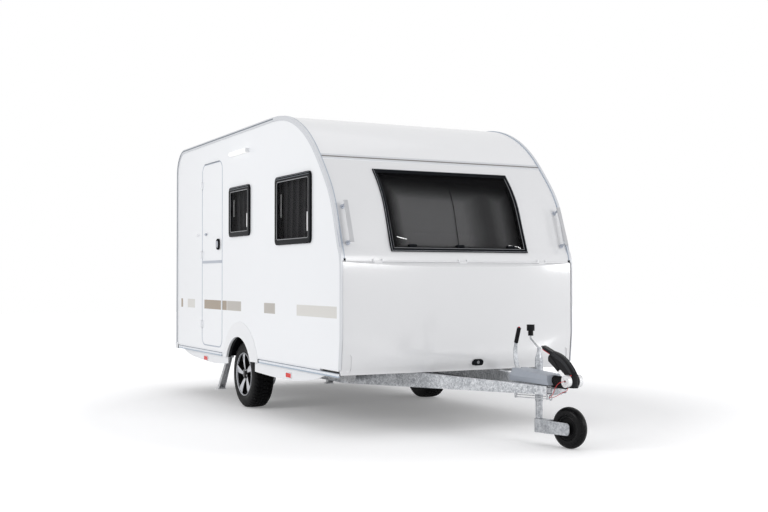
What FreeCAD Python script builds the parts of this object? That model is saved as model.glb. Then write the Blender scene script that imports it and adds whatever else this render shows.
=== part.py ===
import FreeCAD, Part
import math
import os

# A two-wheeled travel caravan, parked on its road wheels, its jockey wheel and its rear steadies.
# Lengths are in millimetres. While the pieces are made, x runs forward from the road wheels' centre,
# y to the left and z up from the ground. Each piece is moved to the middle of the whole as it is kept.

V = FreeCAD.Vector
x_way = V(1, 0, 0)
y_way = V(0, 1, 0)
z_way = V(0, 0, 1)
centre = V(0, 0, 0)
overrun = 5.0

# Body shell
body_half_width = 1100.0
wall_thickness = 27.0
roof_thickness = 30.0
floor_thickness = 40.0
shell_bottom_z = 475.0
rear_x = -2045.0
rear_corner_radius = 260.0
roof_rear_z = 2655.0
roof_rise = 17.0
roof_front_z = roof_rear_z + roof_rise
roof_end_x = 776.0
nose_x = 2295.0
nose_z = 1260.0
tuck_z = 764.0
tuck_depth = 30.0
tuck_x = nose_x - tuck_depth
front_curve_shares = [(0.259, 0.978), (0.463, 0.897), (0.634, 0.766), (0.760, 0.620), (0.885, 0.425),
                      (0.972, 0.161)]
front_height = roof_front_z - nose_z
seam_share = 0.702
seam_x = roof_end_x + seam_share * (nose_x - roof_end_x)
seam_half_width = 20.0
panel_gap = 6.0
seat_gap = 0.3

# Edge rails over the joint between side walls and roof
rail_proud = 6.0
rail_side_width = 34.0
rail_roof_width = 18.0
rail_nose_width = 3.0

# Entrance door, in the right wall
door_hinge_x = -1144.0
door_front_x = -518.0
door_sill_height = 75.0
door_head_drop = 235.0
door_low_z = shell_bottom_z + door_sill_height
door_high_z = roof_rear_z - door_head_drop
door_height = door_high_z - door_low_z
door_corner_radius = 90.0
door_handle_x = -621.0
door_handle_z = door_low_z + 0.553 * door_height
door_handle_half_width = 40.0
door_handle_half_height = 56.0
door_handle_depth = 14.0
door_trim_z = door_low_z + 0.459 * door_height
door_trim_height = 27.0
door_trim_proud = 5.0
door_hinge_zs = [door_low_z + share * door_height for share in (0.112, 0.5, 0.888)]
hinge_pin_radius = 5.0
hinge_knuckle_radius = 10.0
hinge_knuckle_height = 60.0
hinge_play = 0.3
catch_z = door_low_z + 0.613 * door_height
catch_wall_x = -1281.0
catch_door_x = -1007.0
catch_radius = 12.0
catch_length = 16.0

# Windows. A side window has its rear and front edge, then its foot and head below the roof's edge.
window_corner_radius = 45.0
window_frame_width = 46.0
window_frame_proud = 16.0
window_lap = 24.0
pane_thickness = 8.0
pane_recess = 8.0
small_window = (-283.0, 287.0, 1012.0, 528.0)
large_window_width = 784.0
large_window_front_gap = 581.0
large_window_front_x = nose_x - large_window_front_gap
large_window = (large_window_front_x - large_window_width, large_window_front_x, 1124.0, 525.0)
rear_window_margin = 540.0
rear_window_drop = 595.0
rear_window_height = 580.0
rear_window_half_width = body_half_width - rear_window_margin
rear_window_high_z = roof_rear_z - rear_window_drop
rear_window_low_z = rear_window_high_z - rear_window_height
front_window_margin = 445.0
front_window_half_width = body_half_width - front_window_margin
front_window_low_z = nose_z + 0.138 * front_height
front_window_high_z = nose_z + 0.622 * front_height
front_frame_proud = 12.0
front_pane_proud = 6.0
front_frame_width = 26.0
curtain_thickness = 30.0
curtain_gap = 45.0
curtain_overlap = 40.0

# Gas locker and its moulded lid
locker_depth = 415.0
bulkhead_x = nose_x - locker_depth
bulkhead_thickness = 18.0
lid_top_z = nose_z + 0.0786 * front_height
lid_side_gap = 8.0
lid_bottom_z = shell_bottom_z + panel_gap
lid_half_width = body_half_width - lid_side_gap
lid_depth = 30.0
lid_skin = 14.0
lid_crown = 48.0
lid_chin = 16.0
lid_chin_share = 0.17
lid_foot_share = 0.35
lid_shelf_slope = 0.75
lid_plan_power = 2.6
lid_grid = 13
lid_hinge_ys = [share * lid_half_width for share in (-0.72, 0.0, 0.72)]
lid_hinge_proud = 7.0
lid_pin_radius = 2.5
lid_knuckle_radius = 5.0
lid_knuckle_length = 70.0
lid_hinge_plate_height = 18.0
lock_y = 120.0
lock_height = 74.0
lock_z = shell_bottom_z + lock_height
lock_half_width = 50.0
lock_half_height = 26.0
lock_depth = 16.0
grip_inset = 58.0
grip_y = lid_half_width - grip_inset
grip_low_z = 503.0
grip_high_z = 640.0
grip_half_width = 21.0
grip_depth = 7.0

# Wheel arches and road wheels
tyre_radius = 318.0
tyre_width = 195.0
tyre_inset = 70.0
tyre_outer_y = body_half_width - tyre_inset
tyre_shoulder = 26.0
tyre_crown = 5.0
tread_inset = 16.0
tyre_side_height = 128.0
bead_radius = tyre_radius - tyre_side_height
rim_flange_height = 15.0
rim_flange_radius = bead_radius + rim_flange_height
rim_flange_width = 12.0
rim_barrel_thickness = 9.0
rim_spoke_count = 5
rim_spoke_depth = 24.0
rim_spoke_inset = 10.0
rim_spoke_root = 50.0
rim_spoke_tip = 92.0
rim_spoke_ridge = 9.0
rim_hub_radius = 56.0
hub_cap_radius = 28.0
hub_cap_depth = 8.0
drum_radius = 118.0
drum_width = 62.0
drum_inner_gap = 6.0
spindle_radius = 20.0
spindle_play = 0.3
arch_clearance = 42.0
arch_radius = tyre_radius + arch_clearance
flare_breadth = 145.0
flare_radius = arch_radius + flare_breadth
flare_proud = 22.0
flare_lip = 9.0
flare_drop = 12.0
flare_bottom_z = shell_bottom_z - flare_drop
wheel_box_clearance = 48.0
wheel_box_radius = tyre_radius + wheel_box_clearance
wheel_box_thickness = 6.0
wheel_box_depth = 260.0
wheel_box_inner_y = tyre_outer_y - wheel_box_depth

# Skirt and lower covers. A cover's lower edge is given as shares of its length from the arch and of its
# depth at the arch.
skirt_drop = 11.0
skirt_height = 33.0
skirt_low_z = shell_bottom_z - skirt_drop
skirt_high_z = skirt_low_z + skirt_height
skirt_depth = 10.0
skirt_rear_gap = 80.0
skirt_front_gap = 50.0
skirt_rear_x = rear_x + skirt_rear_gap
skirt_front_x = nose_x - skirt_front_gap
cover_inset = 15.0
cover_y = body_half_width - cover_inset
cover_thickness = 12.0
cover_arch_gap = 12.0
cover_arch_x = arch_radius + cover_arch_gap
cover_arch_depth = 103.0
rear_cover_edge_shares = [(0.298, 1.350), (0.562, 1.184), (0.928, 0.466)]
rear_cover_end_gap = 195.0
rear_cover_end_x = rear_x + rear_cover_end_gap
front_cover_edge_shares = [(0.428, 1.136), (0.740, 0.864), (0.903, 0.456)]
front_cover_end_gap = 310.0
front_cover_end_x = nose_x - front_cover_end_gap
reflector_size = (66.0, 8.0, 30.0)
reflector_drop = 75.0
reflector_z = shell_bottom_z - reflector_drop
rear_reflector_x = -1120.0
front_reflector_x = 1115.0

# Rear bumper and lamps
bumper_depth = 38.0
bumper_drop = 20.0
bumper_height = 67.0
bumper_low_z = shell_bottom_z - bumper_drop
bumper_high_z = bumper_low_z + bumper_height
bumper_wrap = 95.0
bumper_proud = 8.0
lamp_low_z = 640.0
lamp_high_z = 1010.0
lamp_inset = 220.0
lamp_y = body_half_width - lamp_inset
lamp_width = 130.0
lamp_depth = 34.0
lamp_radius = 28.0
brake_lamp_half_width = 150.0
brake_lamp_drop = 405.0
brake_lamp_z = roof_rear_z - brake_lamp_drop
brake_lamp_height = 32.0

# Grab handles
handle_inset = 72.0
handle_y = body_half_width - handle_inset
handle_low_z = nose_z + 0.191 * front_height
handle_high_z = nose_z + 0.426 * front_height
handle_reach = 74.0
handle_width = 26.0
handle_thickness = 16.0
handle_foot = 22.0
handle_foot_share = 0.06
rear_handle_low_z = 1230.0
rear_handle_high_z = 1500.0
rear_handle_inset = 115.0
rear_handle_y = body_half_width - rear_handle_inset
rear_handle_reach = 34.0

# Awning lamp and roof hatch
awning_lamp_rear_x = -216.0
awning_lamp_front_x = 247.0
awning_lamp_drop = 223.0
awning_lamp_low_z = roof_rear_z - awning_lamp_drop
awning_lamp_height = 36.0
awning_lamp_depth = 40.0
hatch_x = -420.0
hatch_half = 215.0
hatch_height = 52.0
hatch_flange = 26.0
hatch_flange_height = 12.0

# Chassis and drawbar
chassis_inset = 485.0
chassis_depth = 152.0
chassis_y = body_half_width - chassis_inset
chassis_low_z = shell_bottom_z - chassis_depth
chassis_wall = 5.0
chassis_flange = 40.0
chassis_rear_gap = 625.0
chassis_rear_x = rear_x + chassis_rear_gap
chassis_front_x = 1290.0
beam_front_x = 3566.0
beam_front_y = 90.0
beam_front_low_z = 408.0
beam_front_high_z = 468.0
beam_taper_gap = 35.0
beam_taper_x = nose_x + beam_taper_gap
cross_member_xs = (-1300.0, 700.0)
cross_member_height = 60.0
cross_member_width = 50.0
axle_tube_x = 165.0
axle_tube_drop = 103.0
axle_tube_z = shell_bottom_z - axle_tube_drop
axle_tube_half = 44.0
axle_arm_thickness = 34.0
axle_arm_y = wheel_box_inner_y
axle_hanger_width = 90.0

# Overrun device, coupling and handbrake
overrun_half_width = 44.0
overrun_rear_x = 3010.0
overrun_low_z = 412.0
overrun_high_z = 520.0
overrun_step_x = 3545.0
overrun_front_x = 3572.0
overrun_foot_low_z = 402.0
shaft_z = 497.0
shaft_radius = 25.0
bellows_front_x = 3690.0
bellows_radius = 44.0
bellows_rib_count = 7
bellows_rib_depth = 7.0
cover_rear_x = 3098.0
cover_front_x = 3585.0
cover_half_width = 84.0
cover_top_half_width = 60.0
cover_edge_z = 512.0
cover_rear_high_z = 568.0
cover_front_high_z = 545.0
cover_floor_z = 476.0
cover_front_slope = 34.0
cover_wall = 4.0
cover_bellows_gap = 1.5
coupling_half_width = 34.0
coupling_x = 3752.0
coupling_nose_x = 3800.0
coupling_low_z = 470.0
coupling_high_z = 556.0
coupling_neck_z = 540.0
ball_radius = 25.2
ball_bore_length = 22.0
pad_radius = 44.0
pad_face_y = 64.0
pad_z = 517.0
pad_bolt_radius = 9.0
pad_bolt_depth = 12.0
ring_x = 3550.0
ring_y = -40.0
ring_z = 383.0
ring_radius = 17.0
ring_wire_radius = 4.0
cable_radius = 2.0
cable_arc_share = 0.45
cable_route = [(3752.0, -52.0, 517.0), (3752.0, -84.0, 517.0), (3722.0, -100.0, 503.0),
               (3680.0, -92.0, 470.0), (3640.0, -78.0, 436.0), (3598.0, -60.0, 402.0),
               (3550.0, -57.0, 383.0), (3550.0, -22.0, 383.0), (3590.0, -16.0, 396.0),
               (3638.0, -16.0, 421.0), (3690.0, -16.0, 439.0), (3722.0, -16.0, 450.0),
               (3722.0, -16.0, 470.0)]
stabiliser_width = 46.0
stabiliser_top = [(3793.0, 556.0), (3676.0, 667.0), (3530.0, 714.0)]
stabiliser_tip = [(3415.0, 748.0), (3428.0, 722.0)]
stabiliser_under = [(3520.0, 692.0), (3494.0, 672.0), (3496.0, 640.0), (3608.0, 574.0), (3630.0, 594.0)]
stabiliser_foot = (3712.0, 556.0)
brake_lever_x = 3112.0
brake_lever_y = -8.0
brake_lever_width = 24.0
brake_lever_thickness = 9.0
brake_lever_bow_x = 3066.0
brake_lever_bow_z = 636.0
brake_grip_radius = 16.0
brake_grip_low = (3070.0, 754.0)
brake_grip_high = (3109.0, 864.0)
brake_button_radius = 10.0
brake_button_height = 8.0

# Jockey wheel
jockey_x = 3217.0
jockey_y = 98.0
jockey_tube_radius = 30.0
jockey_tube_wall = 3.2
jockey_tube_low_z = 322.0
jockey_shoulder_z = 640.0
jockey_neck_z = 690.0
jockey_neck_radius = 15.0
jockey_stem_radius = 13.5
jockey_inner_radius = 26.0
jockey_inner_top_z = 560.0
crank_radius = 7.0
crank_elbow_z = 722.0
crank_reach = 107.0
crank_rise_z = 783.0
crank_knob_low_z = 805.0
crank_knob_mid_z = 842.0
crank_knob_high_z = 889.0
crank_knob_small_radius = 20.0
crank_knob_large_radius = 30.0
jockey_yaw = 11.0
jockey_trail = 304.0
jockey_tyre_radius = 152.0
jockey_tyre_width = 78.0
jockey_rim_radius = 74.0
jockey_rim_width = 60.0
jockey_axle_radius = 9.0
jockey_hub_radius = 24.0
jockey_fork_top_z = 190.0
jockey_fork_low_z = 88.0
jockey_fork_front_low_z = 100.0
jockey_fork_back_half = 35.0
jockey_fork_half = 52.0
jockey_fork_splay = (45.0, 125.0)
jockey_fork_plate = 5.0
jockey_fork_nose = 40.0
jockey_fork_corner = 30.0
jockey_boss_height = 30.0
swivel_pin_radius = 12.0
swivel_play = 0.3
swivel_gap = 2.0
clamp_length = 80.0
clamp_low_z = 425.0
clamp_high_z = 455.0
clamp_wall = 10.0

# Corner steadies
steady_offset = 50.0
steady_pivot_drop = 90.0
rear_steady_foot_gap = 246.0
steady_reach_x = 291.0
steady_y = chassis_y + steady_offset
steady_pivot_z = shell_bottom_z - steady_pivot_drop
rear_steady_foot_x = rear_x + rear_steady_foot_gap
rear_steady_pivot_x = rear_steady_foot_x + steady_reach_x
front_steady_pivot_x = 1090.0
steady_half_width = 26.0
steady_depth = 44.0
steady_wall = 4.0
steady_pin_radius = 8.0
steady_play = 0.3
steady_bracket_plate = 5.0
steady_bracket_gap = 1.0
steady_bracket_half = 42.0
steady_foot_length = 84.0
steady_foot_height = 10.0

parts_folder = "parts"
whole_rear_x = rear_x - bumper_depth
middle_x = (whole_rear_x + coupling_nose_x) / 2


def keep(name, *shapes):
    """Writes one sub-part, moved so that the origin is under the middle of the whole caravan."""
    solids = [solid for shape in shapes for solid in shape.Solids]
    whole = solids[0] if len(solids) == 1 else Part.makeCompound(solids)
    whole = whole.copy()
    whole.translate(V(-middle_x, 0, 0))
    whole.exportStep(os.path.join(parts_folder, name + ".step"))


def box(x0, x1, y0, y1, z0, z1):
    corner = V(min(x0, x1), min(y0, y1), min(z0, z1))
    return Part.makeBox(abs(x1 - x0), abs(y1 - y0), abs(z1 - z0), corner)


def polygon_side(points, y0, y1):
    """Extrudes an outline of (x, z) points from y0 to y1."""
    wire = Part.makePolygon([V(x, y0, z) for x, z in points] + [V(points[0][0], y0, points[0][1])])
    return Part.Face(wire).extrude(V(0, y1 - y0, 0))


def polygon_plan(points, z0, z1):
    """Extrudes an outline of (x, y) points from z0 to z1."""
    wire = Part.makePolygon([V(x, y, z0) for x, y in points] + [V(points[0][0], points[0][1], z0)])
    return Part.Face(wire).extrude(V(0, 0, z1 - z0))


def rod(start, end, radius):
    way = end - start
    return Part.makeCylinder(radius, way.Length, start, way)


def rounded_edges(shape, way, radius, wanted=None):
    """Rounds the straight edges of a block that run along one direction, or only the wanted ones."""
    edges = [edge for edge in shape.Edges
             if len(edge.Vertexes) == 2 and edge.Curve.TypeId == "Part::GeomLine"
             and abs(edge.tangentAt(edge.FirstParameter).dot(way)) > math.cos(math.radians(1))]
    if wanted:
        edges = [edge for edge in edges if wanted(edge.CenterOfMass)]
    return shape.makeFillet(radius, edges)


def mirrored(shape):
    return shape.mirror(centre, y_way)


def fused(*shapes):
    whole = shapes[0]
    for shape in shapes[1:]:
        whole = whole.fuse(shape)
    return whole.removeSplitter()


def front_curve(grow):
    """The long curve from the roof down to the nose, moved outwards by a distance along its normals."""
    rear_end = V(rear_x + rear_corner_radius, 0, roof_rear_z)
    roof_end = V(roof_end_x, 0, roof_front_z)
    points = [roof_end]
    for along, up in front_curve_shares:
        points.append(V(roof_end_x + along * (nose_x - roof_end_x), 0,
                        nose_z + up * (roof_front_z - nose_z)))
    points.append(V(nose_x, 0, nose_z))
    first_way = (roof_end - rear_end).normalize()
    last_way = V(0, 0, -1)
    curve = Part.BSplineCurve()
    curve.interpolate(Points=points, InitialTangent=first_way, FinalTangent=last_way)
    if grow:
        moved = []
        for point in points:
            way = curve.tangent(curve.parameter(point))[0]
            moved.append(point + V(-way.z, 0, way.x) * grow)
        curve = Part.BSplineCurve()
        curve.interpolate(Points=moved, InitialTangent=first_way, FinalTangent=last_way)
    return curve


def side_outline(grow=0.0):
    """The body's side view, grown outwards by a distance.

    It has an upright rear, a rounded rear top, a nearly flat roof, one long front curve, a straight
    nose and a foot that tucks in.
    """
    radius = rear_corner_radius + grow
    corner = V(rear_x + rear_corner_radius, 0, roof_rear_z - rear_corner_radius)
    low_z = shell_bottom_z - grow
    rear_foot = V(rear_x - grow, 0, low_z)
    rear_shoulder = corner + V(-radius, 0, 0)
    corner_middle = corner + V(-radius * math.cos(math.pi / 4), 0, radius * math.sin(math.pi / 4))
    roof_start = corner + V(0, 0, radius)
    curve = front_curve(grow)
    roof_end = curve.StartPoint
    nose = curve.EndPoint
    way = V(tuck_x - nose_x, 0, shell_bottom_z - tuck_z).normalize()
    out = V(-way.z, 0, way.x)
    start = V(nose_x, 0, tuck_z) + out * grow
    tuck = start + way * ((nose.x - start.x) / way.x)
    front_foot = start + way * ((low_z - start.z) / way.z)
    edges = [Part.makeLine(rear_foot, rear_shoulder),
             Part.Arc(rear_shoulder, corner_middle, roof_start).toShape(),
             Part.makeLine(roof_start, roof_end),
             curve.toShape(),
             Part.makeLine(nose, tuck),
             Part.makeLine(tuck, front_foot),
             Part.makeLine(front_foot, rear_foot)]
    return Part.Face(Part.Wire(edges))


def body_block(outline):
    """Extrudes a side outline over the body's whole width."""
    outline.translate(V(0, -body_half_width, 0))
    return outline.extrude(V(0, 2 * body_half_width, 0))


def front_x_at(z):
    """How far forward the body's front reaches at a height above the tuck."""
    if z <= nose_z:
        return nose_x
    level = Part.makeLine(V(0, 0, z), V(2 * nose_x, 0, z))
    return front_curve(0.0).toShape().distToShape(level)[1][0][0].x


def base_x_at(z):
    """How far forward the plain body outline reaches at any height of the locker lid."""
    if z < tuck_z:
        return nose_x - tuck_depth * (tuck_z - z) / (tuck_z - shell_bottom_z)
    return front_x_at(z)


def skin(inner, outer, y0, y1):
    """A layer that follows the side outline, between two distances outside it, from y0 to y1."""
    ring = side_outline(outer).cut(side_outline(inner)).Faces[0]
    ring.translate(V(0, y0, 0))
    return ring.extrude(V(0, y1 - y0, 0))


def lid_room():
    """The layer along the front that the lid and its hinges need, over the whole width."""
    layer = skin(-lid_depth - panel_gap, overrun, -body_half_width - overrun, body_half_width + overrun)
    return layer.common(box(bulkhead_x, nose_x + 2 * overrun, -body_half_width - overrun,
                            body_half_width + overrun, 0, lid_top_z + panel_gap))


def rounded_side_block(x0, x1, z0, z1, radius, y0, y1):
    return rounded_edges(box(x0, x1, y0, y1, z0, z1), y_way, radius)


def window_limits(window):
    x0, x1, foot_depth, head_depth = window
    return x0, x1, roof_rear_z - foot_depth, roof_rear_z - head_depth


def window_opening(window, inset, y0, y1):
    x0, x1, z0, z1 = window_limits(window)
    return rounded_side_block(x0 + inset, x1 - inset, z0 + inset, z1 - inset,
                              window_corner_radius - inset / 2, y0, y1)


def side_wall(with_door):
    """One sandwich side wall at the right, with its windows, wheel arch and, if asked, its doorway."""
    face = side_outline()
    face.translate(V(0, -body_half_width, 0))
    wall = face.extrude(V(0, wall_thickness, 0))
    y0 = -body_half_width - overrun
    y1 = -body_half_width + wall_thickness + overrun
    for window in (small_window, large_window):
        wall = wall.cut(window_opening(window, window_lap, y0, y1))
    arch = Part.makeCylinder(arch_radius + flare_lip, y1 - y0, V(0, y0, tyre_radius), y_way)
    wall = wall.cut(arch).cut(lid_room())
    if with_door:
        wall = wall.cut(rounded_side_block(door_hinge_x - panel_gap, door_front_x + panel_gap,
                                           door_low_z - panel_gap, door_high_z + panel_gap,
                                           door_corner_radius + panel_gap, y0, y1))
        for z in door_hinge_zs:
            half = hinge_knuckle_height / 2 + panel_gap
            wall = wall.cut(box(door_hinge_x - hinge_knuckle_radius - panel_gap, door_hinge_x,
                                -body_half_width - overrun, -body_half_width + hinge_knuckle_radius,
                                z - half, z + half))
    return wall


def shell_band():
    inside = body_half_width - wall_thickness
    return skin(-roof_thickness, 0.0, -inside, inside)


def roof_piece(band):
    inside = body_half_width
    above = max(roof_rear_z, roof_front_z) + roof_thickness
    top = box(rear_x - overrun, seam_x, -inside, inside, roof_rear_z - rear_corner_radius, above)
    brow = box(roof_end_x, seam_x, -inside, inside, nose_z, above)
    return band.common(top.fuse(brow))


def rear_wall_piece(band):
    inside = body_half_width
    back = box(rear_x - overrun, rear_x + rear_corner_radius, -inside, inside,
               shell_bottom_z + floor_thickness, roof_rear_z - rear_corner_radius)
    wall = band.common(back)
    window = rounded_edges(box(rear_x - overrun, rear_x + roof_thickness + overrun,
                               -rear_window_half_width + window_lap, rear_window_half_width - window_lap,
                               rear_window_low_z + window_lap, rear_window_high_z - window_lap),
                           x_way, window_corner_radius - window_lap / 2)
    return wall.cut(window)


def front_wall_piece(band):
    inside = body_half_width
    front = box(seam_x, nose_x + overrun, -inside, inside, lid_top_z + panel_gap, roof_front_z)
    wall = band.common(front)
    window = box(seam_x, nose_x + overrun, -front_window_half_width + window_lap,
                 front_window_half_width - window_lap, front_window_low_z + window_lap,
                 front_window_high_z - window_lap)
    return wall.cut(window)


def floor_piece():
    inside = body_half_width - wall_thickness
    floor = box(rear_x, tuck_x - lid_depth - panel_gap - overrun, -inside, inside,
                shell_bottom_z, shell_bottom_z + floor_thickness)
    well = box(-wheel_box_radius - wheel_box_thickness, wheel_box_radius + wheel_box_thickness,
               wheel_box_inner_y - wheel_box_thickness, body_half_width,
               shell_bottom_z - overrun, shell_bottom_z + floor_thickness + overrun)
    return floor.cut(well).cut(mirrored(well))


def locker_bulkhead():
    """The wall and the top board that close the gas locker off from the cabin."""
    inside = body_half_width - wall_thickness
    floor_top = shell_bottom_z + floor_thickness
    board_z = lid_top_z + panel_gap
    wall = box(bulkhead_x, bulkhead_x + bulkhead_thickness, -inside, inside, floor_top,
               board_z + bulkhead_thickness)
    board = box(bulkhead_x, nose_x, -inside, inside, board_z, board_z + bulkhead_thickness)
    room = body_block(side_outline(-roof_thickness))
    return wall.fuse(board.common(room)).removeSplitter()


def edge_rail():
    """The light-metal rail that covers the edge of the right wall from rear foot to front foot."""
    cap = skin(0.0, rail_proud, -body_half_width - rail_proud, -body_half_width + rail_roof_width)
    side = skin(-rail_side_width, 0.0, -body_half_width - rail_proud, -body_half_width)
    rail = cap.fuse(side).removeSplitter()
    foot = box(rear_x - 2 * overrun - rail_proud, nose_x + 2 * overrun + rail_proud,
               -body_half_width - 2 * overrun - rail_proud, 0, shell_bottom_z - 2 * overrun - rail_proud,
               bumper_high_z)
    beside_lid = box(bulkhead_x, nose_x + 2 * overrun + rail_proud, -body_half_width + rail_nose_width, 0,
                     0, lid_top_z + panel_gap)
    return rail.cut(foot).cut(beside_lid)


def seam_trim():
    """The dark strip over the joint between the roof and the front wall."""
    inner_y = body_half_width - rail_roof_width
    strip = skin(0.0, rail_proud / 2, -inner_y, inner_y)
    return strip.common(box(seam_x - seam_half_width, seam_x + seam_half_width, -body_half_width,
                            body_half_width, nose_z, roof_front_z))


def window_frame(window):
    """A black frame that laps over the wall outside and lines the opening through it."""
    y_out = -body_half_width - window_frame_proud
    lap = window_opening(window, 0.0, y_out, -body_half_width)
    lining = window_opening(window, window_lap, -body_half_width, -body_half_width + wall_thickness)
    hole = window_opening(window, window_frame_width, y_out - overrun,
                          -body_half_width + wall_thickness + overrun)
    return lap.fuse(lining).cut(hole).removeSplitter()


def window_pane(window):
    y_out = -body_half_width - window_frame_proud + pane_recess
    return window_opening(window, window_frame_width, y_out, y_out + pane_thickness)


def rear_window_frame():
    x_out = rear_x - window_frame_proud
    half = rear_window_half_width

    def block(inset, x0, x1):
        return rounded_edges(box(x0, x1, -half + inset, half - inset, rear_window_low_z + inset,
                                 rear_window_high_z - inset), x_way, window_corner_radius - inset / 2)

    lap = block(0.0, x_out, rear_x)
    lining = block(window_lap, rear_x, rear_x + roof_thickness)
    hole = block(window_frame_width, x_out - overrun, rear_x + roof_thickness + overrun)
    pane = block(window_frame_width, x_out + pane_recess, x_out + pane_recess + pane_thickness)
    return lap.fuse(lining).cut(hole).removeSplitter(), pane


def front_window():
    """The frame and the single bowed pane of the front window, which follow the front curve."""
    half = front_window_half_width

    def block(inset):
        return box(seam_x, nose_x + front_frame_proud + overrun, -half + inset, half - inset,
                   front_window_low_z + inset, front_window_high_z - inset)

    outer = skin(0.0, front_frame_proud, -half, half).common(block(0.0))
    lining = skin(-roof_thickness, 0.0, -half, half).common(block(window_lap))
    hole = skin(-roof_thickness - overrun, front_frame_proud + overrun, -half, half)
    frame = outer.fuse(lining).cut(hole.common(block(front_frame_width)))
    pane = skin(front_pane_proud - pane_thickness, front_pane_proud, -half, half)
    return frame.removeSplitter(), pane.common(block(front_frame_width))


def side_curtain(window):
    x0, x1, z0, z1 = window_limits(window)
    y0 = -body_half_width + wall_thickness + curtain_gap - curtain_thickness
    return box(x0 + window_frame_width, x1 - window_frame_width, y0, y0 + curtain_thickness,
               z0 - curtain_overlap, z1 + curtain_overlap)


def curtain_rail(window):
    x0, x1, z0, z1 = window_limits(window)
    y0 = -body_half_width + wall_thickness
    return box(x0, x1, y0, y0 + curtain_gap, z1 + curtain_overlap, z1 + curtain_overlap + wall_thickness)


def front_blind():
    depth = roof_thickness + curtain_thickness
    half = front_window_half_width - front_frame_width
    layer = skin(-depth, -roof_thickness, -half, half)
    return layer.common(box(seam_x - depth, nose_x, -half, half, front_window_low_z - window_lap,
                            front_window_high_z + window_lap))


def door_leaf():
    y0 = -body_half_width
    leaf = rounded_side_block(door_hinge_x, door_front_x, door_low_z, door_high_z, door_corner_radius,
                              y0, y0 + wall_thickness)
    for z in door_hinge_zs:
        half = hinge_knuckle_height / 2
        axis = V(door_hinge_x, y0 - hinge_knuckle_radius, z - half)
        knuckle = Part.makeCylinder(hinge_knuckle_radius, hinge_knuckle_height, axis)
        strap = box(door_hinge_x, door_hinge_x + 3 * hinge_knuckle_radius, y0 - hinge_knuckle_radius / 2,
                    y0, z - half, z + half)
        bore = Part.makeCylinder(hinge_pin_radius + hinge_play, hinge_knuckle_height + 2 * overrun,
                                 axis - V(0, 0, overrun))
        leaf = leaf.fuse(knuckle).fuse(strap).cut(bore)
    return leaf.removeSplitter()


def door_hinges():
    """The fixed leaves of the door's hinges, each with its pin between two ears."""
    hinges = []
    for z in door_hinge_zs:
        half = hinge_knuckle_height / 2
        ear = hinge_knuckle_radius
        axis_y = -body_half_width - hinge_knuckle_radius
        pin = Part.makeCylinder(hinge_pin_radius, hinge_knuckle_height + 2 * ear,
                                V(door_hinge_x, axis_y, z - half - ear))
        ears = None
        for z0 in (z - half - ear - hinge_play, z + half + hinge_play):
            block = Part.makeCylinder(hinge_knuckle_radius, ear, V(door_hinge_x, axis_y, z0))
            foot = box(door_hinge_x - 3 * ear, door_hinge_x, axis_y, -body_half_width, z0, z0 + ear)
            block = block.fuse(foot)
            ears = block if ears is None else ears.fuse(block)
        hinges.append(ears.fuse(pin).removeSplitter())
    return hinges


def oval_boss(x, z, half_width, half_height, y0, y1):
    """An upright or level oval with straight sides, extruded from y0 to y1."""
    radius = min(half_width, half_height) - seat_gap
    return rounded_side_block(x - half_width, x + half_width, z - half_height, z + half_height,
                              radius, y0, y1)


def door_handle():
    return oval_boss(door_handle_x, door_handle_z, door_handle_half_width, door_handle_half_height,
                     -body_half_width - door_handle_depth, -body_half_width)


def door_trim():
    """The grey strip across the door, just below its handle."""
    return box(door_hinge_x, door_front_x, -body_half_width - door_trim_proud, -body_half_width,
               door_trim_z - door_trim_height / 2, door_trim_z + door_trim_height / 2)


def catch(x):
    return Part.makeCylinder(catch_radius, catch_length, V(x, -body_half_width - catch_length, catch_z),
                             y_way)


def lid_face():
    """The lid's outer face: crowned in plan, with a chin near its foot, and flush at its two ends."""
    height = lid_top_z - lid_bottom_z
    chin_z = lid_bottom_z + lid_chin_share * height
    rows = []
    for row in range(lid_grid):
        z = lid_bottom_z - lid_depth + (height + 2 * lid_depth) * row / (lid_grid - 1)
        rise = lid_crown + lid_chin * math.exp(-((z - chin_z) / (lid_chin_share * height / 2)) ** 2)
        below = max(0.0, chin_z - z) / (chin_z - lid_bottom_z)
        rise *= 1 - (1 - lid_foot_share) * min(1.0, below) ** 2
        points = []
        for column in range(lid_grid):
            share = 2 * column / (lid_grid - 1) - 1
            plan = 1 - abs(share) ** lid_plan_power
            points.append(V(base_x_at(z) + rise * plan, share * lid_half_width, z))
        rows.append(points)
    face = Part.BSplineSurface()
    face.interpolate(rows)
    return face.toShape()


def locker_lid():
    """The moulded locker lid: a hollow shell with returned edges, a sloping shelf along its top, two
    upright grip slots and the moving knuckles of its hinges."""
    deep = bulkhead_x - nose_x
    half = lid_half_width
    face = lid_face()
    body = face.extrude(V(deep, 0, 0))
    body = body.common(box(bulkhead_x, 2 * nose_x, -half, half, lid_bottom_z, lid_top_z))
    body = body.cut(body_block(side_outline(-lid_depth)))
    body = body.cut(box(bulkhead_x, tuck_x - lid_depth, -half, half, 0, tuck_z))
    shelf_x = base_x_at(lid_top_z)
    reach = 2 * lid_crown
    shelf = polygon_side([(shelf_x, lid_top_z), (shelf_x + reach, lid_top_z - lid_shelf_slope * reach),
                          (shelf_x + reach, lid_top_z + overrun), (shelf_x, lid_top_z + overrun)],
                         -half - overrun, half + overrun)
    inside = face.extrude(V(deep, 0, 0))
    inside.translate(V(-lid_skin, 0, 0))
    inside = inside.common(box(bulkhead_x, 2 * nose_x, -half + lid_skin, half - lid_skin,
                               lid_bottom_z + lid_skin, lid_top_z - lid_crown - lid_skin))
    lid = body.cut(shelf).cut(inside)
    for side in (-1, 1):
        lid = lid.cut(grip_slot(face, side))
    return fused(lid, *lid_knuckles()).cut(lid_bores())


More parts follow.
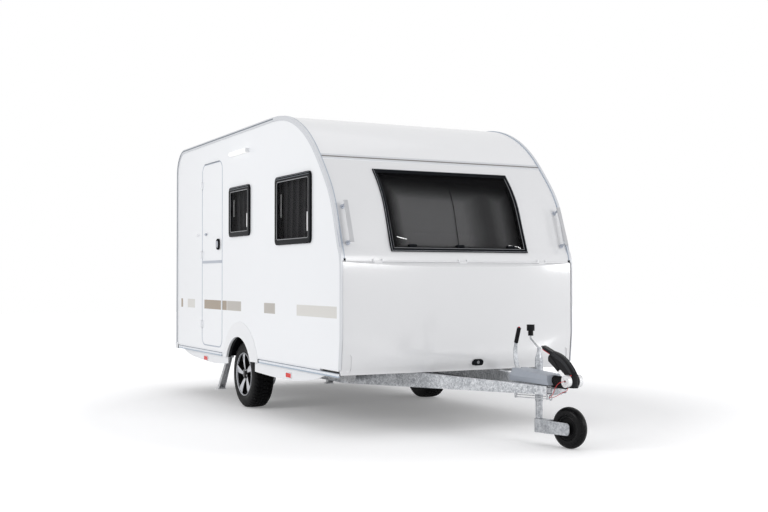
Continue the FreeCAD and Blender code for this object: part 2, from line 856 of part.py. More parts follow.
def grip_slot(face, side):
    """A shallow upright slot near one end of the lid, as deep as its fingers' grip."""
    slot = box(nose_x - lid_depth, nose_x + lid_crown, side * grip_y - grip_half_width,
               side * grip_y + grip_half_width, grip_low_z, grip_high_z)
    slot = rounded_edges(slot, x_way, grip_half_width - seat_gap)
    beneath = face.extrude(V(-lid_crown - 2 * lid_depth, 0, 0))
    beneath.translate(V(-grip_depth, 0, 0))
    return slot.cut(beneath)


def lid_axis():
    return V(base_x_at(lid_top_z) + lid_hinge_proud, 0, lid_top_z + panel_gap / 2)


def lid_knuckles():
    axis = lid_axis()
    pieces = []
    for y in lid_hinge_ys:
        start = V(axis.x, y - lid_knuckle_length / 2, axis.z)
        knuckle = Part.makeCylinder(lid_knuckle_radius, lid_knuckle_length, start, y_way)
        strap = box(axis.x - lid_depth / 2, axis.x + lid_knuckle_radius, start.y,
                    start.y + lid_knuckle_length, axis.z - lid_hinge_plate_height, axis.z)
        pieces.append(knuckle.fuse(strap))
    return pieces


def lid_bores():
    axis = lid_axis()
    length = lid_knuckle_length + 2 * overrun
    bores = [Part.makeCylinder(lid_pin_radius + hinge_play, length, axis + V(0, y - length / 2, 0), y_way)
             for y in lid_hinge_ys]
    return Part.makeCompound(bores)


def lid_hinges():
    """The fixed halves of the lid's hinges: a pin between two ears on the front wall's foot."""
    axis = lid_axis()
    ear = 2 * lid_knuckle_radius
    half = lid_knuckle_length / 2
    body = body_block(side_outline())
    hinges = []
    for y in lid_hinge_ys:
        hinge = Part.makeCylinder(lid_pin_radius, lid_knuckle_length + 2 * ear,
                                  axis + V(0, y - half - ear, 0), y_way)
        for y0 in (y - half - ear - hinge_play, y + half + hinge_play):
            boss = Part.makeCylinder(lid_knuckle_radius, ear, axis + V(0, y0, 0), y_way)
            plate = box(axis.x - lid_depth, axis.x + lid_knuckle_radius, y0, y0 + ear,
                        axis.z + panel_gap / 2, axis.z + lid_hinge_plate_height)
            hinge = hinge.fuse(boss).fuse(plate)
        hinges.append(hinge.cut(body).removeSplitter())
    return hinges


def lock_knob(lid):
    """The oval lock that stands on the lid's tucked foot."""
    x = base_x_at(lock_z)
    block = box(x, x + lid_crown + lock_depth, lock_y - lock_half_width, lock_y + lock_half_width,
                lock_z - lock_half_height, lock_z + lock_half_height)
    block = rounded_edges(block, x_way, lock_half_height - seat_gap)
    surface = lid_face().extrude(V(-lid_crown - 2 * lid_depth, 0, 0))
    return block.cut(surface).cut(lid)


def wheel_arch_flare():
    """The moulded white arch round the right wheel, flush at its outer edge and proud at its lip."""
    y_wall = -body_half_width
    profile = [(arch_radius, y_wall + wall_thickness), (arch_radius, y_wall - flare_proud),
               (arch_radius + 2 * flare_lip, y_wall - flare_proud), (flare_radius, y_wall - flare_lip / 3),
               (flare_radius, y_wall), (arch_radius + flare_lip, y_wall),
               (arch_radius + flare_lip, y_wall + wall_thickness)]
    points = [V(0, y, tyre_radius + r) for r, y in profile]
    face = Part.Face(Part.makePolygon(points + points[:1]))
    ring = face.revolve(V(0, 0, tyre_radius), y_way, 360)
    low = box(-flare_radius - overrun, flare_radius + overrun, -2 * body_half_width, 0,
              tyre_radius - flare_radius - overrun, flare_bottom_z)
    return ring.cut(low)


def wheel_box():
    """The black liner over the right wheel, open below and towards the outside."""
    y0 = -body_half_width + wall_thickness
    y1 = -wheel_box_inner_y
    outer = Part.makeCylinder(wheel_box_radius + wheel_box_thickness, y1 - y0 + wheel_box_thickness,
                              V(0, y0, tyre_radius), y_way)
    inner = Part.makeCylinder(wheel_box_radius, y1 - y0 + overrun, V(0, y0 - overrun, tyre_radius), y_way)
    low = box(-flare_radius, flare_radius, y0 - overrun, y1 + 2 * wheel_box_thickness,
              -flare_radius, shell_bottom_z)
    return outer.cut(inner).cut(low)


def tyre(side):
    """A road tyre: bead, bulging wall, rounded shoulder and a slightly crowned tread."""
    out = tyre_outer_y
    inner = tyre_outer_y - tyre_width
    edge = tread_inset / 2

    def at(r, y):
        return V(0, side * y, tyre_radius + r)

    bead_out = at(bead_radius, out - edge)
    bead_in = at(bead_radius, inner + edge)
    wall_out = at((bead_radius + tyre_radius) / 2, out)
    wall_in = at((bead_radius + tyre_radius) / 2, inner)
    shoulder_out = at(tyre_radius - tyre_shoulder, out - edge)
    shoulder_in = at(tyre_radius - tyre_shoulder, inner + edge)
    tread_out = at(tyre_radius - tyre_crown, out - edge - tread_inset)
    tread_in = at(tyre_radius - tyre_crown, inner + edge + tread_inset)
    tread_middle = at(tyre_radius, (out + inner) / 2)
    edges = [Part.makeLine(bead_in, bead_out),
             Part.Arc(bead_out, wall_out, shoulder_out).toShape(),
             Part.makeLine(shoulder_out, tread_out),
             Part.Arc(tread_out, tread_middle, tread_in).toShape(),
             Part.makeLine(tread_in, shoulder_in),
             Part.Arc(shoulder_in, wall_in, bead_in).toShape()]
    return Part.Face(Part.Wire(edges)).revolve(V(0, 0, tyre_radius), y_way, 360)


def rim(side):
    """A cast wheel: barrel with two flanges, five ridged spokes, hub and the brake drum behind it."""
    out = tyre_outer_y - tread_inset / 2
    inner = tyre_outer_y - tyre_width + tread_inset / 2

    def disc(radius, y0, y1):
        return Part.makeCylinder(radius, abs(y1 - y0), V(0, min(side * y0, side * y1), tyre_radius), y_way)

    barrel_inner = bead_radius - rim_barrel_thickness
    lip = rim_flange_width / 2
    barrel = disc(bead_radius, inner, out)
    for y0, y1 in ((out, out + lip), (inner - lip, inner)):
        barrel = barrel.fuse(disc(rim_flange_radius, y0, y1))
    wheel = barrel.cut(disc(barrel_inner, inner - 2 * lip, out + 2 * lip))
    face_y = out - rim_spoke_inset
    back_y = face_y - rim_spoke_depth
    drum_y = inner + drum_inner_gap
    hub = disc(rim_hub_radius, drum_y, face_y)
    drum = disc(drum_radius, drum_y, drum_y + drum_width)
    wheel = fused(wheel, hub, drum)
    spoke = rim_spoke(side, back_y, face_y)
    for number in range(rim_spoke_count):
        wheel = wheel.fuse(spoke)
        spoke.rotate(V(0, 0, tyre_radius), y_way, 360 / rim_spoke_count)
    wheel = wheel.fuse(disc(hub_cap_radius, face_y, face_y + hub_cap_depth))
    wheel = wheel.cut(disc(spindle_radius + spindle_play, drum_y - overrun, face_y - hub_cap_depth))
    return wheel.removeSplitter()


def rim_spoke(side, back_y, face_y):
    """The upright spoke: narrow at the hub, wide at the barrel, with a ridge along its middle."""
    root = rim_spoke_root / 2
    tip = rim_spoke_tip / 2
    low_z = tyre_radius + rim_hub_radius / 2
    high_z = tyre_radius + bead_radius - rim_barrel_thickness / 2
    ridge_y = face_y + rim_spoke_ridge
    front = polygon_side([(-root, low_z), (root, low_z), (tip, high_z), (-tip, high_z)],
                         side * back_y, side * ridge_y)
    above = polygon_plan([(-tip, side * back_y), (-tip, side * face_y), (0, side * ridge_y),
                          (tip, side * face_y), (tip, side * back_y)], low_z, high_z)
    return front.common(above)


def axle():
    """The torsion axle: a cross tube, a trailing arm at each end and the spindle that carries a wheel."""
    inner_face = tyre_outer_y - tyre_width + tread_inset / 2
    face_y = tyre_outer_y - tread_inset / 2 - rim_spoke_inset
    tube = box(axle_tube_x - axle_tube_half, axle_tube_x + axle_tube_half, -axle_arm_y, axle_arm_y,
               axle_tube_z - axle_tube_half, axle_tube_z + axle_tube_half)
    tube = rounded_edges(tube, y_way, axle_tube_half / 3)
    whole = tube
    for side in (-1, 1):
        arm = polygon_side([(axle_tube_x + axle_tube_half, axle_tube_z + axle_tube_half),
                            (axle_tube_x + axle_tube_half, axle_tube_z - axle_tube_half),
                            (-spindle_radius * 2, tyre_radius - spindle_radius * 2),
                            (-spindle_radius * 2, tyre_radius + spindle_radius * 2)],
                           side * (axle_arm_y - axle_arm_thickness), side * axle_arm_y)
        start = min(side * axle_arm_y, side * (face_y - hub_cap_depth - overrun))
        length = face_y - hub_cap_depth - overrun - axle_arm_y
        spindle = Part.makeCylinder(spindle_radius, length, V(0, start, tyre_radius), y_way)
        back_start = min(side * axle_arm_y, side * (inner_face - rim_flange_width))
        back = Part.makeCylinder(drum_radius, inner_face - rim_flange_width - axle_arm_y,
                                 V(0, back_start, tyre_radius), y_way)
        whole = whole.fuse(arm).fuse(spindle).fuse(back)
    for side in (-1, 1):
        hanger = box(axle_tube_x - axle_hanger_width / 2, axle_tube_x + axle_hanger_width / 2,
                     side * chassis_y, side * (chassis_y + chassis_wall), axle_tube_z - axle_tube_half,
                     shell_bottom_z)
        whole = whole.fuse(hanger)
    return whole.removeSplitter()


def chassis_rail():
    """The right side member, a channel open towards the middle, cut out over the axle tube."""
    rail = box(chassis_rear_x, chassis_front_x, -chassis_y, -chassis_y + chassis_flange,
               chassis_low_z, shell_bottom_z)
    hollow = box(chassis_rear_x - overrun, chassis_front_x + overrun, -chassis_y + chassis_wall,
                 -chassis_y + chassis_flange + overrun, chassis_low_z + chassis_wall,
                 shell_bottom_z - chassis_wall)
    rail = rail.cut(hollow)
    saddle = box(axle_tube_x - axle_tube_half, axle_tube_x + axle_tube_half,
                 -chassis_y - overrun, -chassis_y + chassis_flange + overrun,
                 axle_tube_z - axle_tube_half, axle_tube_z + axle_tube_half)
    return rail.cut(saddle)


def drawbar_beam():
    """The right drawbar beam: a channel that runs in from the side member and tapers to the front."""
    length_x = beam_front_x - chassis_front_x
    hollow_rear_x = chassis_front_x - overrun
    hollow_front_x = beam_front_x + overrun
    slope = (chassis_y - beam_front_y) / length_x
    low_slope = (beam_front_low_z - chassis_low_z) / length_x

    def beam_y(x):
        return -chassis_y + slope * (x - chassis_front_x)

    def outline(grow):
        return [(chassis_front_x - (overrun if grow else 0.0), chassis_low_z + grow),
                (beam_front_x + (overrun if grow else 0.0), beam_front_low_z + grow),
                (beam_front_x + (overrun if grow else 0.0), beam_front_high_z - grow),
                (beam_taper_x, shell_bottom_z - grow),
                (chassis_front_x - (overrun if grow else 0.0), shell_bottom_z - grow)]

    side = polygon_side(outline(0.0), -2 * chassis_y, chassis_y)
    plan = polygon_plan([(chassis_front_x, beam_y(chassis_front_x)), (beam_front_x, beam_y(beam_front_x)),
                         (beam_front_x, beam_y(beam_front_x) + chassis_flange),
                         (chassis_front_x, beam_y(chassis_front_x) + chassis_flange)], 0, roof_front_z)
    beam = side.common(plan)
    hollow_side = polygon_side(outline(chassis_wall), -2 * chassis_y, chassis_y)
    hollow_plan = polygon_plan([(hollow_rear_x, beam_y(hollow_rear_x) + chassis_wall),
                                (hollow_front_x, beam_y(hollow_front_x) + chassis_wall),
                                (hollow_front_x, chassis_y), (hollow_rear_x, chassis_y)], 0, roof_front_z)
    return beam.cut(hollow_side.common(hollow_plan))


def cross_members():
    pieces = []
    for x in cross_member_xs:
        bar = box(x, x + cross_member_width, -chassis_y + chassis_flange, chassis_y - chassis_flange,
                  shell_bottom_z - cross_member_height, shell_bottom_z)
        pieces.append(bar)
    return pieces


def overrun_housing():
    """The cast housing between the beams' front ends, with a ring for the breakaway cable under it."""
    block = box(overrun_rear_x, overrun_step_x, -overrun_half_width, overrun_half_width,
                overrun_low_z, overrun_high_z)
    foot = box(overrun_step_x - chassis_flange, overrun_front_x, -overrun_half_width, overrun_half_width,
               overrun_foot_low_z, shaft_z - bellows_radius - overrun)
    ring = Part.makeTorus(ring_radius, ring_wire_radius, V(ring_x, ring_y, ring_z), y_way)
    return fused(block, foot, ring)


def beam_spacers():
    """The blocks that bolt the housing between the two beams."""
    slope = (chassis_y - beam_front_y) / (beam_front_x - chassis_front_x)
    pieces = []
    for side in (-1, 1):
        x0 = overrun_step_x - 2 * chassis_flange
        inner = chassis_wall
        y_front = beam_front_y - inner
        y_rear = beam_front_y + slope * (beam_front_x - x0) - inner
        low = beam_front_low_z + 2 * chassis_wall
        high = beam_front_high_z - 2 * chassis_wall
        piece = polygon_plan([(x0, side * overrun_half_width), (beam_front_x, side * overrun_half_width),
                              (beam_front_x, side * y_front), (x0, side * y_rear)], low, high)
        pieces.append(piece)
    return pieces


def bellows():
    """The ribbed rubber boot over the overrun shaft."""
    pitch = (bellows_front_x - overrun_step_x) / bellows_rib_count
    groove = bellows_radius - bellows_rib_depth
    profile = [(overrun_step_x, shaft_radius)]
    for number in range(bellows_rib_count):
        x = overrun_step_x + number * pitch
        profile += [(x, groove), (x + pitch / 2, bellows_radius)]
    profile += [(bellows_front_x, groove), (bellows_front_x, shaft_radius)]
    points = [V(x, 0, shaft_z + r) for x, r in profile]
    face = Part.Face(Part.makePolygon(points + points[:1]))
    return face.revolve(V(0, 0, shaft_z), x_way, 360)


def coupling_head():
    """The coupling: the overrun shaft and the cast head that closes over the ball."""
    half = coupling_half_width
    shaft = rod(V(overrun_step_x, 0, shaft_z), V(coupling_x, 0, shaft_z), shaft_radius)
    side = polygon_side([(bellows_front_x, coupling_low_z + half / 2), (bellows_front_x, coupling_neck_z),
                         (coupling_x - half, coupling_high_z), (coupling_nose_x, coupling_high_z),
                         (coupling_nose_x, coupling_low_z), (coupling_x - half, coupling_low_z)],
                        -half, half)
    nose = Part.makeCylinder(half, coupling_high_z, V(coupling_nose_x - half, 0, 0))
    plan = box(bellows_front_x, coupling_nose_x - half, -half, half, 0, coupling_high_z).fuse(nose)
    socket = Part.makeCylinder(ball_radius, ball_bore_length + overrun,
                               V(coupling_x, 0, coupling_low_z - overrun))
    dome = Part.makeSphere(ball_radius, V(coupling_x, 0, coupling_low_z + ball_bore_length))
    return fused(shaft, side.common(plan)).cut(socket).cut(dome)


def friction_pads():
    """The two round holders of the stabiliser's friction pads, each with a sunk bolt."""
    pads = []
    for side in (-1, 1):
        start = min(side * coupling_half_width, side * pad_face_y)
        pad = Part.makeCylinder(pad_radius, pad_face_y - coupling_half_width,
                                V(coupling_x, start, pad_z), y_way)
        sink = Part.makeCylinder(pad_bolt_radius, pad_bolt_depth,
                                 V(coupling_x, side * pad_face_y, pad_z), V(0, -side, 0))
        pads.append(pad.cut(sink))
    return pads


def breakaway_cable():
    """The thin cable from the near pad's bolt through the ring and back up under the coupling.

    Its line is straight runs joined by tangent arcs, each as large as its two runs allow.
    """
    points = [V(*point) for point in cable_route]
    edges = []
    start = points[0]
    for before, corner, after in zip(points, points[1:], points[2:]):
        back = before - corner
        ahead = after - corner
        cut = cable_arc_share * min(back.Length, ahead.Length)
        half_turn = (math.pi - back.getAngle(ahead)) / 2
        radius = cut / math.tan(half_turn)
        back.normalize()
        ahead.normalize()
        inwards = (back + ahead).normalize()
        middle = corner + inwards * (radius / math.cos(half_turn) - radius)
        first = corner + back * cut
        last = corner + ahead * cut
        edges += [Part.makeLine(start, first), Part.Arc(first, middle, last).toShape()]
        start = last
    edges.append(Part.makeLine(start, points[-1]))
    way = points[1] - points[0]
    disc = Part.Face(Part.Wire(Part.makeCircle(cable_radius, points[0], way)))
    return Part.Wire(edges).makePipe(disc)


def stabiliser_handle():
    """The long curved handle of the stabiliser, from the coupling's top back and up to its grip."""
    half = stabiliser_width / 2

    def at(point):
        return V(point[0], -half, point[1])

    top = [at(point) for point in stabiliser_top]
    under = [at(point) for point in stabiliser_tip + stabiliser_under + [stabiliser_foot]]
    way = [top[-1]] + under + [top[0]]
    edges = [Part.Arc(*top).toShape()] + [Part.makeLine(a, b) for a, b in zip(way, way[1:])]
    handle = Part.Face(Part.Wire(edges)).extrude(V(0, stabiliser_width, 0))
    return rounded_edges(handle, y_way, overrun, lambda middle: middle.x < stabiliser_tip[1][0] + overrun)


def drawbar_cover():
    """The moulded cover over the overrun housing: shoulders along both sides and hollow below."""
    def shape(inset):
        low_z = cover_floor_z - (overrun if inset else 0.0)
        wide = cover_half_width - inset
        narrow = cover_top_half_width - inset
        top_z = cover_rear_high_z - inset
        section = [V(0, -wide, low_z), V(0, wide, low_z), V(0, wide, cover_edge_z - inset / 2),
                   V(0, narrow, top_z), V(0, -narrow, top_z), V(0, -wide, cover_edge_z - inset / 2)]
        across = Part.Face(Part.makePolygon(section + section[:1])).extrude(V(cover_front_x, 0, 0))
        side = [(cover_rear_x + inset, low_z), (cover_front_x - inset, low_z),
                (cover_front_x - cover_front_slope - inset, cover_front_high_z - inset),
                (cover_rear_x + inset, top_z)]
        return across.common(polygon_side(side, -wide, wide))

    cover = shape(0.0).cut(shape(cover_wall))
    hole = Part.makeCylinder(jockey_tube_radius + overrun, cover_rear_high_z, V(jockey_x, jockey_y, 0))
    slot = box(cover_rear_x - overrun, brake_lever_x + brake_lever_width, brake_lever_y - brake_lever_width,
               brake_lever_y + brake_lever_width, cover_floor_z + overrun, cover_rear_high_z + overrun)
    saddle = box(cover_rear_x - overrun, overrun_step_x + overrun, -overrun_half_width - seat_gap,
                 overrun_half_width + seat_gap, cover_floor_z - overrun, overrun_high_z + seat_gap)
    mouth = Part.makeCylinder(bellows_radius + cover_bellows_gap, cover_front_x - overrun_step_x + overrun,
                              V(overrun_step_x, 0, shaft_z), x_way)
    return cover.cut(hole).cut(slot).cut(saddle).cut(mouth)


def handbrake():
    """The handbrake lever, a flat bar that bows backwards and stands on the housing."""
    half = brake_lever_width / 2
    y = brake_lever_y - brake_lever_thickness / 2
    bow = [(brake_lever_x, overrun_high_z), (brake_lever_bow_x, brake_lever_bow_z), brake_grip_low]
    rear = [V(x - half, y, z) for x, z in bow]
    front = [V(x + half, y, z) for x, z in bow]
    edges = [Part.Arc(*rear).toShape(), Part.makeLine(rear[-1], front[-1]), Part.Arc(*front).toShape(),
             Part.makeLine(front[0], rear[0])]
    return Part.Face(Part.Wire(Part.__sortEdges__(edges))).extrude(V(0, brake_lever_thickness, 0))


def handbrake_grip(lever):
    start = V(brake_grip_low[0], brake_lever_y, brake_grip_low[1])
    end = V(brake_grip_high[0], brake_lever_y, brake_grip_high[1])
    way = (end - start).normalize()
    grip = rod(start, end, brake_grip_radius)
    button = rod(end, end + way * brake_button_height, brake_button_radius)
    return grip.fuse(button).removeSplitter().cut(lever)


def jockey_outer():
    """The outer tube of the jockey wheel, its shoulder and the crank rod on top."""
    foot = V(jockey_x, jockey_y, jockey_tube_low_z)
    tube = Part.makeCylinder(jockey_tube_radius, jockey_shoulder_z - jockey_tube_low_z, foot)
    cone = Part.makeCone(jockey_tube_radius, jockey_neck_radius, jockey_neck_z - jockey_shoulder_z,
                         V(jockey_x, jockey_y, jockey_shoulder_z))
    stem = Part.makeCylinder(jockey_stem_radius, crank_elbow_z - jockey_neck_z,
                             V(jockey_x, jockey_y, jockey_neck_z))
    bore = Part.makeCylinder(jockey_tube_radius - jockey_tube_wall,
                             jockey_shoulder_z - jockey_tube_low_z - jockey_tube_wall, foot)
    low = V(jockey_x, jockey_y, crank_elbow_z - crank_radius)
    high = V(jockey_x - crank_reach, jockey_y, crank_rise_z)
    top = V(jockey_x - crank_reach, jockey_y, crank_knob_low_z)
    crank = fused(rod(low, high, crank_radius), Part.makeSphere(crank_radius, high),
                  rod(high, top, crank_radius))
    return fused(tube, cone, stem).cut(bore).fuse(crank).removeSplitter()


def crank_knob():
    foot = V(jockey_x - crank_reach, jockey_y, crank_knob_low_z)
    small = Part.makeCylinder(crank_knob_small_radius, crank_knob_mid_z - crank_knob_low_z, foot)
    large = Part.makeCylinder(crank_knob_large_radius, crank_knob_high_z - crank_knob_mid_z,
                              V(foot.x, foot.y, crank_knob_mid_z))
    return small.fuse(large).removeSplitter()


def jockey_clamp():
    """The clamp that holds the jockey tube to the inside of the left beam."""
    slope = (chassis_y - beam_front_y) / (beam_front_x - chassis_front_x)
    half = clamp_length / 2
    beam_y = beam_front_y + slope * (beam_front_x - jockey_x) - chassis_wall
    x0, x1 = jockey_x - half, jockey_x + half
    block = polygon_plan([(x0, jockey_y), (x1, jockey_y), (x1, beam_y - slope * half),
                          (x0, beam_y + slope * half)], clamp_low_z, clamp_high_z)
    ring = Part.makeCylinder(jockey_tube_radius + clamp_wall, clamp_high_z - clamp_low_z,
                             V(jockey_x, jockey_y, clamp_low_z))
    hole = Part.makeCylinder(jockey_tube_radius, 2 * clamp_high_z, V(jockey_x, jockey_y, 0))
    return block.fuse(ring).cut(hole).removeSplitter()


def jockey_inner():
    """The sliding inner tube, with the swivel pin under it."""
    foot = V(jockey_x, jockey_y, jockey_fork_top_z + swivel_gap)
    tube = Part.makeCylinder(jockey_inner_radius, jockey_inner_top_z - foot.z, foot)
    pin_low = jockey_fork_top_z - jockey_boss_height
    pin = Part.makeCylinder(swivel_pin_radius, foot.z - pin_low, V(jockey_x, jockey_y, pin_low))
    return tube.fuse(pin).removeSplitter()


def turned(shape):
    """Turns a piece that is drawn straight ahead to the angle at which the jockey wheel stands."""
    shape = shape.copy()
    shape.rotate(V(jockey_x, jockey_y, 0), z_way, jockey_yaw)
    return shape


def fork_plan(inset, front_x):
    """The fork seen from above: round the tube at its back, then splayed to pass beside the wheel."""
    near = jockey_fork_back_half - inset
    far = jockey_fork_half - inset
    first, second = jockey_fork_splay
    side = [(0, near), (first, near), (second, far), (front_x, far)]
    right = [V(jockey_x + x, jockey_y - y, 0) for x, y in side]
    left = [V(jockey_x + x, jockey_y + y, 0) for x, y in reversed(side)]
    way = right + left
    edges = [Part.makeLine(a, b) for a, b in zip(way, way[1:])]
    edges.append(Part.Arc(left[-1], V(jockey_x - near, jockey_y, 0), right[0]).toShape())
    return Part.Face(Part.Wire(edges)).extrude(V(0, 0, 2 * jockey_fork_top_z))


def jockey_fork():
    """The pressed fork: a channel closed round the tube, with an arm each side of the wheel."""
    wheel_x = jockey_x + jockey_trail
    back = jockey_x - jockey_fork_back_half
    front = wheel_x + jockey_fork_nose
    y0 = jockey_y - jockey_fork_half
    y1 = jockey_y + jockey_fork_half
    side = polygon_side([(back, jockey_fork_low_z), (front, jockey_fork_front_low_z),
                         (front, jockey_fork_top_z), (back, jockey_fork_top_z)], y0, y1)
    side = rounded_edges(side, y_way, jockey_fork_corner, lambda middle: middle.x > wheel_x)
    reach = jockey_trail + 2 * jockey_fork_nose
    outer = fork_plan(0.0, reach)
    arms = side.common(outer).cut(fork_plan(jockey_fork_plate, 2 * reach))
    web = outer.common(box(back, jockey_x + jockey_fork_splay[1], y0, y1,
                           jockey_fork_top_z - jockey_fork_plate, jockey_fork_top_z))
    top = V(jockey_x, jockey_y, jockey_fork_top_z)
    boss = Part.makeCylinder(jockey_hub_radius, jockey_boss_height, top - z_way * jockey_boss_height)
    bore = rod(top - z_way * jockey_fork_top_z, top + z_way * overrun, swivel_pin_radius + swivel_play)
    axle_rod = rod(V(wheel_x, y0, jockey_tyre_radius), V(wheel_x, y1, jockey_tyre_radius),
                   jockey_axle_radius)
    return turned(fused(arms, web, boss, axle_rod).cut(bore))


def jockey_tyre():
    wheel_x = jockey_x + jockey_trail
    half = jockey_tyre_width / 2
    rim_half = jockey_rim_width / 2
    shoulder = jockey_tyre_radius - half / 4

    def at(r, y):
        return V(wheel_x, jockey_y + y, jockey_tyre_radius + r)

    def wall(side):
        return Part.Arc(at(jockey_rim_radius, side * rim_half),
                        at((jockey_tyre_radius + jockey_rim_radius) / 2, side * half),
                        at(shoulder, side * half * 3 / 4)).toShape()

    tread = Part.Arc(at(shoulder, half * 3 / 4), at(jockey_tyre_radius, 0), at(shoulder, -half * 3 / 4))
    bead = Part.makeLine(at(jockey_rim_radius, -rim_half), at(jockey_rim_radius, rim_half))
    face = Part.Face(Part.Wire(Part.__sortEdges__([bead, wall(1), tread.toShape(), wall(-1)])))
    return turned(face.revolve(V(wheel_x, jockey_y, jockey_tyre_radius), y_way, 360))


def jockey_rim():
    wheel_x = jockey_x + jockey_trail
    half = jockey_rim_width / 2

    def disc(radius, y0, y1):
        return Part.makeCylinder(radius, y1 - y0, V(wheel_x, jockey_y + y0, jockey_tyre_radius), y_way)

    barrel = disc(jockey_rim_radius, -half, half)
    hollow = disc(jockey_rim_radius - chassis_wall, -half - overrun, half + overrun)
    web = disc(jockey_rim_radius, -chassis_wall, chassis_wall)
    hub = disc(jockey_hub_radius, -half, half)
    bore = disc(jockey_axle_radius + swivel_play, -half - overrun, half + overrun)
    return turned(fused(barrel.cut(hollow), web, hub).cut(bore))


def steady_leg(pivot_x, side, lift):
    """A pressed channel leg with its foot plate, swung down to the ground or lifted by an angle.

    The rear legs point backwards and the front ones, which are lifted, point forwards.
    """
    way = -1 if pivot_x < 0 else 1
    reach = math.hypot(steady_reach_x, steady_pivot_z)
    half = steady_depth / 2
    y = side * steady_y
    leg = box(pivot_x - half, pivot_x + reach, y - steady_half_width, y + steady_half_width,
              steady_pivot_z - half, steady_pivot_z + half)
    hollow = box(pivot_x - half - overrun, pivot_x + reach - 3 * steady_foot_height,
                 y - steady_half_width + steady_wall, y + steady_half_width - steady_wall,
                 steady_pivot_z - half - overrun, steady_pivot_z + half - steady_wall)
    bore = Part.makeCylinder(steady_pin_radius + steady_play, 2 * steady_half_width + 2 * overrun,
                             V(pivot_x, y - steady_half_width - overrun, steady_pivot_z), y_way)
    leg = leg.cut(hollow).cut(bore)
    pivot = V(pivot_x, y, steady_pivot_z)
    leg.rotate(pivot, y_way, steady_down_angle())
    ground = box(pivot_x, pivot_x + 2 * reach, y - 2 * steady_half_width, y + 2 * steady_half_width,
                 -reach, 0)
    foot_x = pivot_x + steady_reach_x
    foot = box(foot_x - steady_foot_length / 2, foot_x + steady_foot_length / 2,
               y - steady_half_width - overrun, y + steady_half_width + overrun, 0, steady_foot_height)
    leg = leg.cut(ground).fuse(foot).removeSplitter()
    leg.rotate(pivot, y_way, -lift)
    return leg if way > 0 else leg.mirror(V(pivot_x, 0, 0), x_way)


def steady_down_angle():
    return math.degrees(math.atan2(steady_pivot_z, steady_reach_x))


def steady_brackets():
    """A bracket under the floor for each steady: two cheeks, a top plate and the pivot pin."""
    brackets = []
    for pivot_x in (rear_steady_pivot_x, front_steady_pivot_x):
        for side in (-1, 1):
            y = side * steady_y
            out = steady_half_width + steady_bracket_gap + steady_bracket_plate
            cheek_low = steady_pivot_z - 2 * steady_pin_radius
            whole = box(pivot_x - steady_bracket_half, pivot_x + steady_bracket_half, y - out, y + out,
                        cheek_low, shell_bottom_z)
            inside = box(pivot_x - steady_bracket_half - overrun, pivot_x + steady_bracket_half + overrun,
                         y - out + steady_bracket_plate, y + out - steady_bracket_plate,
                         cheek_low - overrun, shell_bottom_z - steady_bracket_plate)
            pin = Part.makeCylinder(steady_pin_radius, 2 * out, V(pivot_x, y - out, steady_pivot_z), y_way)
            brackets.append(whole.cut(inside).fuse(pin).removeSplitter())
    return brackets


def skirt_rails():
    pieces = []
    spans = ((skirt_rear_x, -flare_radius - overrun), (flare_radius + overrun, skirt_front_x))
    for x0, x1 in spans:
        rail = box(x0, x1, -body_half_width - skirt_depth, -body_half_width, skirt_low_z, skirt_high_z)
        pieces += [rail, mirrored(rail)]
    return pieces


def lower_cover(edge_shares, end_x):
    """A lower side cover: upright beside the wheel, then a long curved edge up to the floor."""
    arch_x = math.copysign(cover_arch_x, end_x)
    top = V(arch_x, -cover_y, shell_bottom_z)
    corner = V(arch_x, -cover_y, shell_bottom_z - cover_arch_depth)
    end = V(end_x, -cover_y, shell_bottom_z)
    points = [V(arch_x + share * (end_x - arch_x), -cover_y, shell_bottom_z - depth_share * cover_arch_depth)
              for share, depth_share in edge_shares]
    curve = Part.BSplineCurve()
    curve.interpolate([corner] + points + [end])
    wire = Part.Wire([Part.makeLine(top, corner), curve.toShape(), Part.makeLine(end, top)])
    return Part.Face(wire).extrude(V(0, cover_thickness, 0))


def reflector(x):
    length, depth, height = reflector_size
    return box(x - length / 2, x + length / 2, -cover_y - depth, -cover_y, reflector_z - height / 2,
               reflector_z + height / 2)


def rear_bumper():
    out = body_half_width + bumper_proud
    bar = box(rear_x - bumper_depth, rear_x + bumper_wrap - bumper_depth, -out, out,
              bumper_low_z, bumper_high_z)
    bar = rounded_edges(bar, z_way, bumper_proud / 2)
    return bar.cut(box(rear_x, rear_x + bumper_wrap, -body_half_width, body_half_width,
                       bumper_low_z - overrun, bumper_high_z + overrun))


def rear_lamps():
    pieces = []
    for side in (-1, 1):
        block = box(rear_x - lamp_depth, rear_x, side * (lamp_y - lamp_width / 2),
                    side * (lamp_y + lamp_width / 2), lamp_low_z, lamp_high_z)
        pieces.append(rounded_edges(block, x_way, lamp_radius))
    block = box(rear_x - lamp_depth / 2, rear_x, -brake_lamp_half_width, brake_lamp_half_width,
                brake_lamp_z - brake_lamp_height / 2, brake_lamp_z + brake_lamp_height / 2)
    pieces.append(rounded_edges(block, x_way, brake_lamp_height / 3))
    return pieces


def front_handle(side):
    """A straight grab handle that stands off the front wall on two feet."""
    low = V(front_x_at(handle_low_z) + handle_reach, 0, handle_low_z)
    high = V(front_x_at(handle_high_z) + handle_reach, 0, handle_high_z)
    way = (high - low).normalize()
    across = V(way.z, 0, -way.x)
    half = handle_thickness / 2
    points = [low - across * half, low + across * half, high + across * half, high - across * half]
    y0 = side * handle_y - handle_width / 2
    bar = polygon_side([(point.x, point.z) for point in points], y0, y0 + handle_width)
    bar = rounded_edges(bar, way, handle_thickness / 3)
    feet = []
    for share in (handle_foot_share, 1 - handle_foot_share):
        point = low + (high - low) * share
        foot = rod(point, point - across * 2 * handle_reach, handle_foot / 2)
        foot.translate(V(0, side * handle_y, 0))
        feet.append(foot)
    return fused(bar, *feet).cut(body_block(side_outline()))


